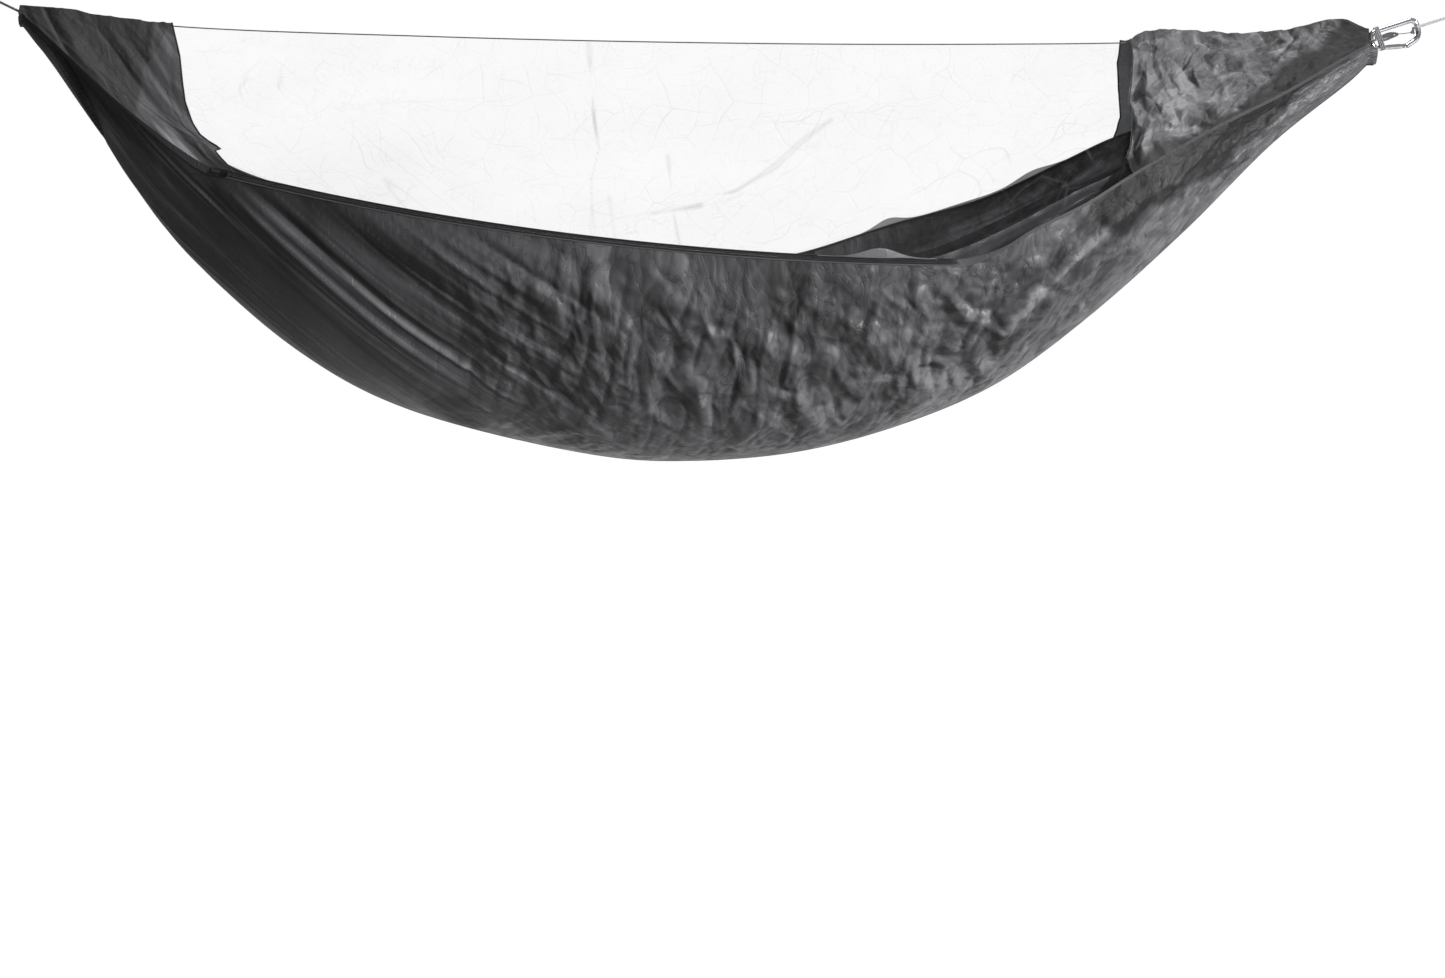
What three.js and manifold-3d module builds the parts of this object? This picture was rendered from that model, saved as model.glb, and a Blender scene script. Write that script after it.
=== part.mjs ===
// Gathered-end camping hammock with an enclosed insect net, hung between two carabiners.
// Millimetres. +X runs from the head end to the foot end, -Y is the zipped front side, +Z is up.
// The origin is the strap seat inside the head carabiner, where a tree strap carries the hammock.
import * as THREE from 'three';
import { mergeVertices } from 'three/addons/utils/BufferGeometryUtils.js';
import Module from 'manifold-3d';

const wasm = await Module();
wasm.setup();

// ---- driving dimensions -------------------------------------------------------------------

const CLOTH = 2;            // thickness of every cloth solid
const GAP = 0.4;            // clearance kept between touching pieces
const RIDGE_R = 1.1;        // ridgeline cord radius
const LOOP_R = 2;           // radius of the cord loops at both ends
const LOOP_HALF_AT_BAR = 8.4;    // from a loop's middle to the centre of each leg
const LOOP_HALF_AT_BUNDLE = 4;
const LOOP_START_GAP = 1;   // from the gathered cloth to a loop's two ends
const LOOP_CREST = 5.4;     // the inside of a loop's bend, past the centre of the carabiner's bar
const SUSPENSION_R = 2.4;   // radius of the grey suspension cord
const BUNDLE_R = 6;         // radius of the gathered cloth at each end
const BUNDLE_LENGTH = 20;
const WHIPPING_R = 1;       // radius of the cord wound round each bundle
const WHIPPING_TURNS = 6;

// carabiner, in its own plane: u runs from the narrow end to the strap end, v towards the spine
const BAR_R = 4.5;
const BAR_SIDES = 20;
const CORNER_STEPS = 8;
const NOSE = [56, -27];
const HINGE = [13, -17];
const CARABINER_CORNERS = [
  { at: [82.5, -19], radius: 18 },
  { at: [82.5, 13], radius: 10 },
  { at: [0, 13], radius: 11 },
  { at: [0, -15], radius: 10 },
];
const STRAP_SEAT = [78, -1.3];
const GATE_R = 4.2;
const TANG_THICKNESS = 3;
const SLOT_WIDTH = 3.8;
const TANG_LENGTH = 9;
const PIN_R = 1.25;
const PIN_HOLE_R = 1.65;
const PIN_FROM_GATE_END = 4.2;
const SHOULDER_GAP = 2.1;

const HEAD_PULL = new THREE.Vector3(-0.9, 0, 0.4365).normalize(); // direction of the head suspension
const FOOT_PULL = new THREE.Vector3(0.954, 0, 0.2998).normalize(); // direction of the foot suspension
const FOOT_CARABINER = new THREE.Vector3(2466.5, 0, -111);   // narrow end's bar centre
const HEAD_BUNDLE_OFFSET = 65;  // from the head carabiner's narrow end to the gathered cloth
const FOOT_BUNDLE_OFFSET = 20;
const SUSPENSION_LENGTH = 104;  // from the foot carabiner's strap end to the knot

// zip: a true circular arc, so its slider can run along it
const ZIP_START = new THREE.Vector3(482, -164, -337);
const ZIP_END = new THREE.Vector3(1733, -269, -490);
const ZIP_BULGE = 91.6;
const ZIP_BULGE_WAY = new THREE.Vector3(0, -0.92, -0.39);
const ZIP_TILT = THREE.MathUtils.degToRad(42);
const COIL_SIZE = 2.2;
const COIL_SPACING = 1.6;       // space between the two coils, where the slider's post runs
const TAPE_THICKNESS = 0.8;
const TAPE_REACH = 7.5;
const CLOTH_REACH = 10.4;
const SLIDER_LENGTH = 11;
const SLIDER_START = THREE.MathUtils.degToRad(0.6); // past the head end of the zip

// long edges, as [x, y, z] through which each runs
const RIDGE = [[149, 0, -59], [390, 0, -86], [842, 0, -104], [1153, 0, -112], [1528, 0, -117],
  [1837, 0, -117], [2033, 0, -115], [2428, 0, -103]];
const HOOD_TOP = [[134, 0, -50], [210, 0, -56], [278, 0, -69], [390, 0, -80], [1200, 0, -104],
  [2033, 0, -110], [2081, 0, -95], [2264, 0, -97], [2315, 0, -92], [2415, 0, -74], [2458, 0, -90]];
const BOTTOM = [[134, 0, -86], [147, 0, -104], [217, 0, -193], [329, 0, -367], [429, 0, -493],
  [604, 0, -647], [779, 0, -743], [1129, 0, -830], [1286, 0, -839], [1479, 0, -822],
  [1662, 0, -773], [1822, 0, -703], [1972, 0, -594], [2144, 0, -440], [2303, 0, -281],
  [2434, 0, -176], [2458, 0, -152]];
const FRONT_NEAR_HEAD = [[134, -15, -68], [220, -70, -140], [330, -118, -235]];
const FRONT_NEAR_FOOT = [[1810, -261, -468], [1860, -254, -438], [1950, -234, -394],
  [2036, -206, -342], [2170, -158, -268], [2300, -105, -205], [2400, -55, -150],
  [2458, -22, -120]];
const REAR = [[134, 15, -68], [220, 70, -140], [330, 122, -235], [483, 166, -335],
  [785, 252, -412], [1139, 305, -470], [1350, 308, -492], [1462, 305, -488], [1657, 286, -429],
  [1817, 260, -383], [1956, 229, -318], [2046, 205, -275], [2170, 158, -235], [2300, 105, -190],
  [2400, 55, -145], [2458, 22, -120]];

// where each hood ends and its net begins, as [share of the way down from the ridge, x]
const HOOD_EDGE = {
  head_front: [[0, 390], [0.28, 409], [0.6, 424], [0.8, 452], [0.9, 488], [1, 512]],
  head_rear: [[0, 385], [0.5, 328], [1, 275]],
  foot_front: [[0, 2049], [0.35, 2042], [0.6, 2040], [1, 2030]],
  foot_rear: [[0, 2032], [0.4, 2040], [0.8, 2052], [1, 2046]],
};
const SEAM = 5;             // from a hood's edge to its net

const SLEEVE_ENDS = [147, 2424];
const BED_ENDS = [151, 2418];

// the bed inside the sleeve: its side edges, its bottom and its share of the sleeve's width
const BED_EDGE = [[150, 0, -66], [190, 0, -112], [330, 0, -262], [520, 0, -385], [785, 0, -432],
  [1139, 0, -482], [1462, 0, -502], [1700, 0, -480], [1956, 0, -362], [2065, 0, -312],
  [2224, 0, -222], [2330, 0, -152], [2424, 0, -112]];
const BED_BOTTOM = [[150, 0, -82], [190, 0, -140], [330, 0, -340], [430, 0, -468],
  [604, 0, -626], [779, 0, -724], [1129, 0, -814], [1286, 0, -824], [1479, 0, -806],
  [1662, 0, -735], [1740, 0, -652], [1822, 0, -568], [1911, 0, -490], [1998, 0, -428],
  [2065, 0, -402], [2224, 0, -292], [2330, 0, -206], [2424, 0, -132]];
const BED_WIDTH = [[150, 9, 0], [330, 88, 0], [520, 150, 0], [785, 226, 0], [1139, 276, 0],
  [1462, 278, 0], [1700, 240, 0], [1956, 170, 0], [2224, 60, 0], [2330, 34, 0], [2424, 9, 0]];

// ---- materials ----------------------------------------------------------------------------

const material = (color, roughness, metalness = 0) =>
  new THREE.MeshStandardMaterial({ color, roughness, metalness });
const nylon = material('#2a2b2e', 0.5);
const bedNylon = material('#1b1b1e', 0.5);
const net = material('#3a3a3c', 0.8);
const blackCord = material('#17171a', 0.7);
const greyCord = material('#a7a9ac', 0.7);
const zipBlack = material('#1d1d20', 0.45);
const steel = material('#c9cbce', 0.2, 1);

// ---- shared shape functions ---------------------------------------------------------------

const vec = (x, y, z) => new THREE.Vector3(x, y, z);
const lerp = THREE.MathUtils.lerp;

/** A smooth curve through points, read by its x. */
function byX(points) {
  const curve = new THREE.CatmullRomCurve3(points.map((p) => vec(...p)), false, 'centripetal');
  const table = curve.getPoints(points.length * 24);
  return (x) => {
    let i = table.findIndex((p) => p.x >= x);
    if (i < 0) i = table.length - 1;
    if (i === 0) i = 1;
    const [a, b] = [table[i - 1], table[i]];
    return a.clone().lerp(b, (x - a.x) / (b.x - a.x));
  };
}

/** A closed mesh from its corners and triangles, turned to face outwards. */
function closedMesh(points, triangles) {
  let volume = 0;
  for (const [a, b, c] of triangles) {
    volume += points[a].clone().cross(points[b]).dot(points[c]);
  }
  const faces = volume > 0 ? triangles : triangles.map(([a, b, c]) => [a, c, b]);
  const geometry = new THREE.BufferGeometry();
  geometry.setAttribute('position', new THREE.Float32BufferAttribute(
    points.flatMap((p) => [p.x, p.y, p.z]), 3));
  geometry.setIndex(faces.flat());
  return geometry;
}

/** Cloth of even thickness on a grid of points, grid[i][j]. */
function clothSolid(grid, thickness = CLOTH) {
  const rows = grid.length;
  const columns = grid[0].length;
  const at = (i, j) => grid[Math.min(Math.max(i, 0), rows - 1)][Math.min(Math.max(j, 0), columns - 1)];
  const sides = [[], []];
  for (let i = 0; i < rows; i++) {
    for (let j = 0; j < columns; j++) {
      const along = at(i + 1, j).clone().sub(at(i - 1, j));
      const across = at(i, j + 1).clone().sub(at(i, j - 1));
      const normal = along.cross(across).setLength(thickness / 2);
      sides[0].push(at(i, j).clone().add(normal));
      sides[1].push(at(i, j).clone().sub(normal));
    }
  }
  const back = rows * columns;
  const index = (i, j) => i * columns + j;
  const triangles = [];
  const quad = (a, b, c, d) => triangles.push([a, b, c], [a, c, d]);
  for (let i = 0; i < rows - 1; i++) {
    for (let j = 0; j < columns - 1; j++) {
      const [a, b, c, d] = [index(i, j), index(i + 1, j), index(i + 1, j + 1), index(i, j + 1)];
      quad(a, b, c, d);
      quad(back + d, back + c, back + b, back + a);
    }
    quad(index(i + 1, 0), index(i, 0), back + index(i, 0), back + index(i + 1, 0));
    const last = columns - 1;
    quad(index(i, last), index(i + 1, last), back + index(i + 1, last), back + index(i, last));
  }
  for (let j = 0; j < columns - 1; j++) {
    quad(index(0, j), index(0, j + 1), back + index(0, j + 1), back + index(0, j));
    const last = rows - 1;
    quad(index(last, j + 1), index(last, j), back + index(last, j), back + index(last, j + 1));
  }
  return closedMesh([...sides[0], ...sides[1]], triangles);
}

/** A solid swept through rings of points, with flat ends. */
function sweptSolid(rings) {
  const count = rings[0].length;
  const points = rings.flat();
  const triangles = [];
  for (let i = 0; i < rings.length - 1; i++) {
    for (let j = 0; j < count; j++) {
      const k = (j + 1) % count;
      const [a, b, c, d] = [i * count + j, (i + 1) * count + j, (i + 1) * count + k, i * count + k];
      triangles.push([a, b, c], [a, c, d]);
    }
  }
  const end = (rings.length - 1) * count;
  for (let j = 1; j < count - 1; j++) {
    triangles.push([0, j, j + 1]);
    triangles.push([end, end + j + 1, end + j]);
  }
  return closedMesh(points, triangles);
}

/** A round bar along a path that lies in one plane, whose normal is given. */
function roundBar(path, radius, sides, planeNormal) {
  const apothem = radius / Math.cos(Math.PI / sides);
  const rings = path.map((p, i) => {
    const tangent = path[Math.min(i + 1, path.length - 1)].clone()
      .sub(path[Math.max(i - 1, 0)]).normalize();
    const out = tangent.clone().cross(planeNormal).normalize();
    return Array.from({ length: sides }, (_, k) => {
      const angle = (2 * Math.PI * (k + 0.5)) / sides;
      return p.clone()
        .addScaledVector(out, apothem * Math.cos(angle))
        .addScaledVector(planeNormal, apothem * Math.sin(angle));
    });
  });
  return sweptSolid(rings);
}

/** Turns a geometry into a solid for joining and cutting. */
function toSolid(geometry) {
  const bare = geometry.clone();
  for (const name of ['normal', 'uv']) bare.deleteAttribute(name);
  const merged = mergeVertices(bare, 1e-4);
  return new wasm.Manifold(new wasm.Mesh({
    numProp: 3,
    vertProperties: new Float32Array(merged.attributes.position.array),
    triVerts: new Uint32Array(merged.index.array),
  }));
}

/** Turns a joined or cut solid back into a geometry. */
function toGeometry(solid) {
  const mesh = solid.getMesh();
  const geometry = new THREE.BufferGeometry();
  geometry.setAttribute('position', new THREE.BufferAttribute(new Float32Array(mesh.vertProperties), 3));
  geometry.setIndex(new THREE.BufferAttribute(new Uint32Array(mesh.triVerts), 1));
  return geometry;
}

/** A box between two corners, as a solid. */
function boxSolid(low, high) {
  const size = high.map((value, i) => value - low[i]);
  const geometry = new THREE.BoxGeometry(...size);
  geometry.translate(...low.map((value, i) => value + size[i] / 2));
  return toSolid(geometry);
}

/** A cylinder lying along one of the axes, centred on a point, as a geometry. */
function rod(radius, length, centre, axis, sides = 20) {
  const geometry = new THREE.CylinderGeometry(radius, radius, length, sides);
  if (axis === 'x') geometry.rotateZ(Math.PI / 2);
  if (axis === 'z') geometry.rotateX(Math.PI / 2);
  return geometry.translate(...centre);
}

const part = new THREE.Group();

function add(name, geometry, finish, matrix) {
  const mesh = new THREE.Mesh(geometry, finish);
  mesh.name = name;
  if (matrix) mesh.applyMatrix4(matrix);
  part.add(mesh);
}

// ---- zip frame ----------------------------------------------------------------------------

const zipChord = ZIP_END.clone().sub(ZIP_START);
const zipLength = zipChord.length();
const zipAlong = zipChord.clone().normalize();
const zipOut = ZIP_BULGE_WAY.clone().addScaledVector(zipAlong, -ZIP_BULGE_WAY.dot(zipAlong)).normalize();
const zipAxis = zipAlong.clone().cross(zipOut).negate();
const zipRadius = zipLength ** 2 / (8 * ZIP_BULGE) + ZIP_BULGE / 2;
const zipCentre = ZIP_START.clone().lerp(ZIP_END, 0.5).addScaledVector(zipOut, ZIP_BULGE - zipRadius);
const zipHalfAngle = Math.asin(zipLength / 2 / zipRadius);

/** The point, tangent, upward and outward directions of the zip at an angle from its middle. */
function zipFrame(angle) {
  const radial = zipAlong.clone().multiplyScalar(Math.sin(angle))
    .addScaledVector(zipOut, Math.cos(angle));
  const tangent = zipAlong.clone().multiplyScalar(Math.cos(angle))
    .addScaledVector(zipOut, -Math.sin(angle));
  const up = zipAxis.clone().multiplyScalar(Math.cos(ZIP_TILT))
    .addScaledVector(radial, -Math.sin(ZIP_TILT));
  const out = radial.clone().multiplyScalar(Math.cos(ZIP_TILT))
    .addScaledVector(zipAxis, Math.sin(ZIP_TILT));
  const point = zipCentre.clone().addScaledVector(radial, zipRadius);
  return { point, tangent, up, out };
}

/** The point a distance above the zip's middle line. */
function besideZip(angle, rise) {
  const { point, up } = zipFrame(angle);
  return point.clone().addScaledVector(up, rise);
}

// ---- edges of the cloth -------------------------------------------------------------------

/** The front edge above (+1) or below (-1) the zip, from the head to the foot. */
function frontEdge(side) {
  const shift = ([x, y, z]) => [x, y, z + side * 2];
  const middle = [];
  const beyond = zipHalfAngle + 15 / zipRadius;
  for (const angle of stations(-beyond, beyond, 30)) {
    middle.push(besideZip(angle, side * CLOTH_REACH).toArray());
  }
  return byX([...FRONT_NEAR_HEAD.map(shift), ...middle, ...FRONT_NEAR_FOOT.map(shift)]);
}

const frontHigh = frontEdge(1);
const frontLow = frontEdge(-1);
const rearHigh = byX(REAR.map(([x, y, z]) => [x, y, z + 5]));
const rearLow = byX(REAR.map(([x, y, z]) => [x, y, z - 5]));
const rearMiddle = byX(REAR);
const hoodTop = byX(HOOD_TOP);
const bottom = byX(BOTTOM);
const bedEdge = byX(BED_EDGE);
const bedBottom = byX(BED_BOTTOM);
const bedWidth = byX(BED_WIDTH);

/** A hanging section between two edges: share 0 is the front edge, 1 the rear, 0.5 the bottom. */
function hangingPoint(front, rear, bottomZ, share) {
  const angle = Math.PI * share;
  const edge = share < 0.5 ? front : rear;
  return vec(edge.x, Math.abs(Math.cos(angle)) * edge.y, lerp(edge.z, bottomZ, Math.sin(angle) ** 0.75));
}

function stations(from, to, count) {
  return Array.from({ length: count + 1 }, (_, i) => lerp(from, to, i / count));
}

// ---- cloth --------------------------------------------------------------------------------

function sleeveLower() {
  const grid = stations(...SLEEVE_ENDS, 34).map((x) => Array.from({ length: 13 }, (_, j) =>
    hangingPoint(frontLow(x), rearLow(x), bottom(x).z, j / 12)));
  add('sleeve_lower', clothSolid(grid), nylon);
}

function bedSheet() {
  const grid = stations(...BED_ENDS, 30).map((x) => {
    const half = bedWidth(x).y;
    const z = bedEdge(x).z;
    return Array.from({ length: 11 }, (_, j) =>
      hangingPoint(vec(x, -half, z), vec(x, half, z), bedBottom(x).z, j / 10));
  });
  add('bed_sheet', clothSolid(grid), bedNylon);
}

/** Reads a list of [share, x] pairs at a share. */
function atShare(pairs, share) {
  const i = Math.max(1, pairs.findIndex(([at]) => at >= share));
  const [a, b] = [pairs[i - 1], pairs[i]];
  return lerp(a[1], b[1], (share - a[0]) / (b[0] - a[0]));
}

/** A panel stretched from the ridge down to a side edge; from and to give its x at each share. */
function sidePanel(name, finish, side, top, edge, from, to, columns) {
  const rows = 10;
  const grid = stations(0, 1, columns).map((t) => stations(0, 1, rows).map((share) => {
    const x = lerp(from(share), to(share), t);
    const high = top(x);
    high.y = side * 3.2;
    return high.lerp(edge(x), share);
  }));
  add(name, clothSolid(grid), finish);
}

function hoodsAndNets() {
  const ridge = byX(RIDGE);
  const netTop = (x) => ridge(x).setZ(ridge(x).z - 4);
  for (const [word, side, edge] of [['front', -1, frontHigh], ['rear', 1, rearHigh]]) {
    const headEdge = (share) => atShare(HOOD_EDGE[`head_${word}`], share);
    const footEdge = (share) => atShare(HOOD_EDGE[`foot_${word}`], share);
    sidePanel(`head_hood_${word}`, nylon, side, hoodTop, edge, () => SLEEVE_ENDS[0], headEdge, 10);
    sidePanel(`net_${word}`, net, side, netTop, edge,
      (share) => headEdge(share) + SEAM, (share) => footEdge(share) - SEAM, 20);
    sidePanel(`foot_hood_${word}`, nylon, side, hoodTop, edge, footEdge, () => SLEEVE_ENDS[1], 12);
  }
}

function rearHem() {
  const rings = stations(160, 2410, 40).map((x) => {
    const p = rearMiddle(x);
    return [[-1, -2.6], [1, -2.6], [1, 2.6], [-1, 2.6]].map(([dy, dz]) => vec(p.x, p.y + dy, p.z + dz));
  });
  add('rear_hem', sweptSolid(rings), nylon);
}

// ---- zip ----------------------------------------------------------------------------------

/** A strip along the zip, whose section is a box from low to high in (rise, outward). */
function zipStrip(name, low, high, from, to, finish, steps) {
  const corners = [[low[0], low[1]], [high[0], low[1]], [high[0], high[1]], [low[0], high[1]]];
  const rings = stations(from, to, steps).map((angle) => {
    const { point, up, out } = zipFrame(angle);
    return corners.map(([rise, outward]) =>
      point.clone().addScaledVector(up, rise).addScaledVector(out, outward));
  });
  add(name, sweptSolid(rings), finish);
}

function zipRows() {
  const inner = COIL_SPACING / 2;
  const outer = inner + COIL_SIZE;
  const start = -zipHalfAngle;
  const end = zipHalfAngle;
  for (const [word, side] of [['upper', 1], ['lower', -1]]) {
    const coil = [side * inner, side * outer].sort((a, b) => a - b);
    const tape = [side * (outer + GAP), side * TAPE_REACH].sort((a, b) => a - b);
    zipStrip(`zipper_coil_${word}`, [coil[0], -COIL_SIZE / 2], [coil[1], COIL_SIZE / 2],
      start, end, zipBlack, 36);
    zipStrip(`zipper_tape_${word}`, [tape[0], -TAPE_THICKNESS / 2], [tape[1], TAPE_THICKNESS / 2],
      start, end, zipBlack, 36);
  }
  const stop = 5 / zipRadius;
  const gap = 0.5 / zipRadius;
  const size = [outer, COIL_SIZE / 2];
  zipStrip('zipper_head_stop', [-size[0], -size[1]], size, start - gap - stop, start - gap, steel, 1);
  zipStrip('zipper_foot_stop', [-size[0], -size[1]], size, end + gap, end + gap + stop, steel, 1);
}

/** The matrix that puts a piece drawn in (along, rise, outward) on the zip. */
function onZip(angle) {
  const { point, tangent, up, out } = zipFrame(angle);
  return new THREE.Matrix4().makeBasis(tangent, up, out).setPosition(point);
}

const PULL_HEIGHT = 4.1;   // the pull's pivot above the zip's middle plane

function zipSlider() {
  const half = SLIDER_LENGTH / 2;
  const plateIn = 1.6;
  const plateOut = 2.8;
  const reach = 5.4;
  let slider = boxSolid([-half, -reach, plateIn], [half, reach, plateOut]);
  slider = slider.add(boxSolid([-half, -reach, -plateOut], [half, reach, -plateIn]));
  slider = slider.add(boxSolid([half - 3, -0.4, -plateIn - 0.1], [half, 0.4, plateIn + 0.1]));
  for (const side of [-1, 1]) {
    const lip = [side * 3.6, side * reach].sort((a, b) => a - b);
    slider = slider.add(boxSolid([-half, lip[0], 0.85], [half, lip[1], plateIn + 0.1]));
    slider = slider.add(boxSolid([-half, lip[0], -plateIn - 0.1], [half, lip[1], -0.85]));
  }
  for (const x of [-3.6, 2.6]) {
    slider = slider.add(boxSolid([x, -1, plateOut - 0.1], [x + 1, 1, 6]));
  }
  slider = slider.add(boxSolid([-3.6, -1, 5.2], [3.6, 1, 6]));
  const place = onZip(-zipHalfAngle + SLIDER_START);
  add('zipper_slider', toGeometry(slider), steel, place);

  let pull = toSolid(rod(0.6, 5.8, [0, 0, PULL_HEIGHT], 'y', 8));
  for (const y of [-2.9, 1.9]) {
    pull = pull.add(boxSolid([-9, y, PULL_HEIGHT - 0.6], [0.6, y + 1, PULL_HEIGHT + 0.6]));
  }
  pull = pull.add(boxSolid([-24, -2.9, PULL_HEIGHT - 0.6], [-8.5, 2.9, PULL_HEIGHT + 0.6]));
  add('zipper_pull', toGeometry(pull), zipBlack, place);
}

// ---- carabiners ---------------------------------------------------------------------------

/** Rounds the corners of an open outline into arcs. */
function roundedOutline(start, corners, end) {
  const points = [new THREE.Vector2(...start)];
  corners.forEach(({ at, radius }, i) => {
    const corner = new THREE.Vector2(...at);
    const before = new THREE.Vector2(...(i ? corners[i - 1].at : start)).sub(corner).normalize();
    const after = new THREE.Vector2(...(i < corners.length - 1 ? corners[i + 1].at : end))
      .sub(corner).normalize();
    const half = Math.acos(before.dot(after)) / 2;
    const centre = corner.clone().add(before.clone().add(after).setLength(radius / Math.sin(half)));
    const first = corner.clone().addScaledVector(before, radius / Math.tan(half)).sub(centre);
    const last = corner.clone().addScaledVector(after, radius / Math.tan(half)).sub(centre);
    const turn = Math.atan2(first.cross(last), first.dot(last));
    for (let k = 0; k <= CORNER_STEPS; k++) {
      const step = first.clone().rotateAround(new THREE.Vector2(), (turn * k) / CORNER_STEPS);
      points.push(step.add(centre));
    }
  });
  points.push(new THREE.Vector2(...end));
  return points.map((p) => vec(p.x, 0, p.y));
}

/** One carabiner in its own plane: x is u, z is v. */
function carabinerPieces() {
  const nose = new THREE.Vector2(...NOSE);
  const hinge = new THREE.Vector2(...HINGE);
  const along = nose.clone().sub(hinge);
  const gateAngle = -Math.atan2(along.y, along.x);
  const gateLength = along.length();
  const middleY = vec(0, 1, 0);

  // everything on the gate is drawn along +x from the hinge shoulder, then turned into place
  const inPlace = (geometry) => geometry.rotateY(gateAngle).translate(hinge.x, 0, hinge.y);
  const bar = toSolid(roundBar(roundedOutline(NOSE, CARABINER_CORNERS, HINGE), BAR_R, BAR_SIDES, middleY));
  const tangBox = (from, to) => {
    const box = new THREE.BoxGeometry(to - from, TANG_THICKNESS, GATE_R * 1.5);
    return box.translate((from + to) / 2, 0, 0);
  };
  const hingePinX = SHOULDER_GAP + PIN_FROM_GATE_END;
  const latchPinX = gateLength - hingePinX;
  const pinHole = (x) => toSolid(inPlace(rod(PIN_HOLE_R, 20, [x, 0, 0], 'y')));
  let frame = bar.add(toSolid(inPlace(tangBox(-4, TANG_LENGTH))));
  frame = frame.add(toSolid(inPlace(tangBox(gateLength - TANG_LENGTH, gateLength + 4))));
  frame = frame.subtract(pinHole(hingePinX)).subtract(pinHole(latchPinX));

  const gateEnd = gateLength - SHOULDER_GAP;
  const slot = TANG_LENGTH + 2;
  let gate = toSolid(rod(GATE_R, gateEnd - SHOULDER_GAP, [gateLength / 2, 0, 0], 'x'));
  const slotBox = (from, to) =>
    boxSolid([from, -SLOT_WIDTH / 2, -GATE_R - 1], [to, SLOT_WIDTH / 2, GATE_R + 1]);
  gate = gate.subtract(slotBox(0, slot)).subtract(slotBox(gateLength - slot, gateLength));
  gate = gate.subtract(toSolid(rod(PIN_HOLE_R, 20, [hingePinX, 0, 0], 'y')));
  gate = gate.subtract(boxSolid([latchPinX - PIN_HOLE_R, -GATE_R - 1, -GATE_R - 1],
    [latchPinX + PIN_HOLE_R, GATE_R + 1, PIN_HOLE_R]));
  const springLength = 12;
  gate = gate.subtract(toSolid(rod(2.1, springLength + 2, [slot + springLength / 2, 0, 0], 'x', 10)));
  return {
    frame: toGeometry(frame),
    gate: inPlace(toGeometry(gate)),
    hinge_pin: inPlace(rod(PIN_R, 2 * GATE_R - 0.4, [hingePinX, 0, 0], 'y', 10)),
    latch_pin: inPlace(rod(PIN_R, 2 * GATE_R - 0.4, [latchPinX, 0, 0], 'y', 10)),
    gate_spring: inPlace(rod(1.7, springLength, [slot + springLength / 2 + 0.4, 0, 0], 'x', 8)),
  };
}

/** The matrix that puts a carabiner's plane on a pull direction, its narrow end at a point. */
function alongPull(pull, point) {
  const spineWay = vec(-pull.z, 0, pull.x).multiplyScalar(Math.sign(pull.x));
  const y = spineWay.clone().cross(pull);
  return new THREE.Matrix4().makeBasis(pull, y, spineWay).setPosition(point);
}

const headCarabinerPlace = alongPull(HEAD_PULL, vec(0, 0, 0))
  .multiply(new THREE.Matrix4().makeTranslation(-STRAP_SEAT[0], 0, -STRAP_SEAT[1]));
const footCarabinerPlace = alongPull(FOOT_PULL, FOOT_CARABINER);

function carabiners() {
  const places = { head: headCarabinerPlace, foot: footCarabinerPlace };
  for (const [end, place] of Object.entries(places)) {
    for (const [name, geometry] of Object.entries(carabinerPieces())) {
      add(`${end}_carabiner_${name}`, geometry, steel, place);
    }
  }
}

// ---- gathered ends and cords --------------------------------------------------------------

/** A hairpin of cord in the plane of the pull and Y, as a path in (u, y). */
function hairpin(from, bendCentre, halfAtFrom, halfAtBend, turn) {
  const path = [[from, halfAtFrom], [lerp(from, bendCentre, 0.5), lerp(halfAtFrom, halfAtBend, 0.5)]];
  for (let k = 0; k <= 8; k++) {
    const angle = Math.PI / 2 - (Math.PI * k) / 8;
    path.push([bendCentre + turn * halfAtBend * Math.cos(angle), halfAtBend * Math.sin(angle)]);
  }
  path.push([lerp(from, bendCentre, 0.5), -lerp(halfAtFrom, halfAtBend, 0.5)], [from, -halfAtFrom]);
  return path.map(([u, y]) => vec(u, y, -1));
}

/** The gathered cloth, its whipping and the cord loop that joins it to a carabiner. */
function gatheredEnd(end, place, bundleStart) {
  const bundle = rod(BUNDLE_R, BUNDLE_LENGTH, [-bundleStart - BUNDLE_LENGTH / 2, 0, -1], 'x');
  add(`bed_${end}_gather`, bundle, bedNylon, place);
  const inside = BUNDLE_R + GAP;
  const outline = [[inside, 0]];
  for (let k = 0; k < WHIPPING_TURNS; k++) {
    outline.push([inside + WHIPPING_R, 2 * WHIPPING_R * k + 0.2]);
    outline.push([inside + 2 * WHIPPING_R, 2 * WHIPPING_R * k + WHIPPING_R]);
  }
  const length = 2 * WHIPPING_R * WHIPPING_TURNS;
  outline.push([inside + WHIPPING_R, length - 0.2], [inside, length], outline[0]);
  const whipping = new THREE.LatheGeometry(outline.map(([r, h]) => new THREE.Vector2(r, h)), 16)
    .rotateZ(Math.PI / 2).translate(-bundleStart - 1, 0, -1);
  add(`${end}_whipping`, toGeometry(toSolid(whipping)), blackCord, place);
  const path = hairpin(-bundleStart + LOOP_START_GAP, LOOP_CREST + LOOP_R - LOOP_HALF_AT_BAR,
    LOOP_HALF_AT_BUNDLE, LOOP_HALF_AT_BAR, 1);
  add(`${end}_loop`, roundBar(path, LOOP_R, 10, vec(0, 0, 1)), blackCord, place);
}

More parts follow.
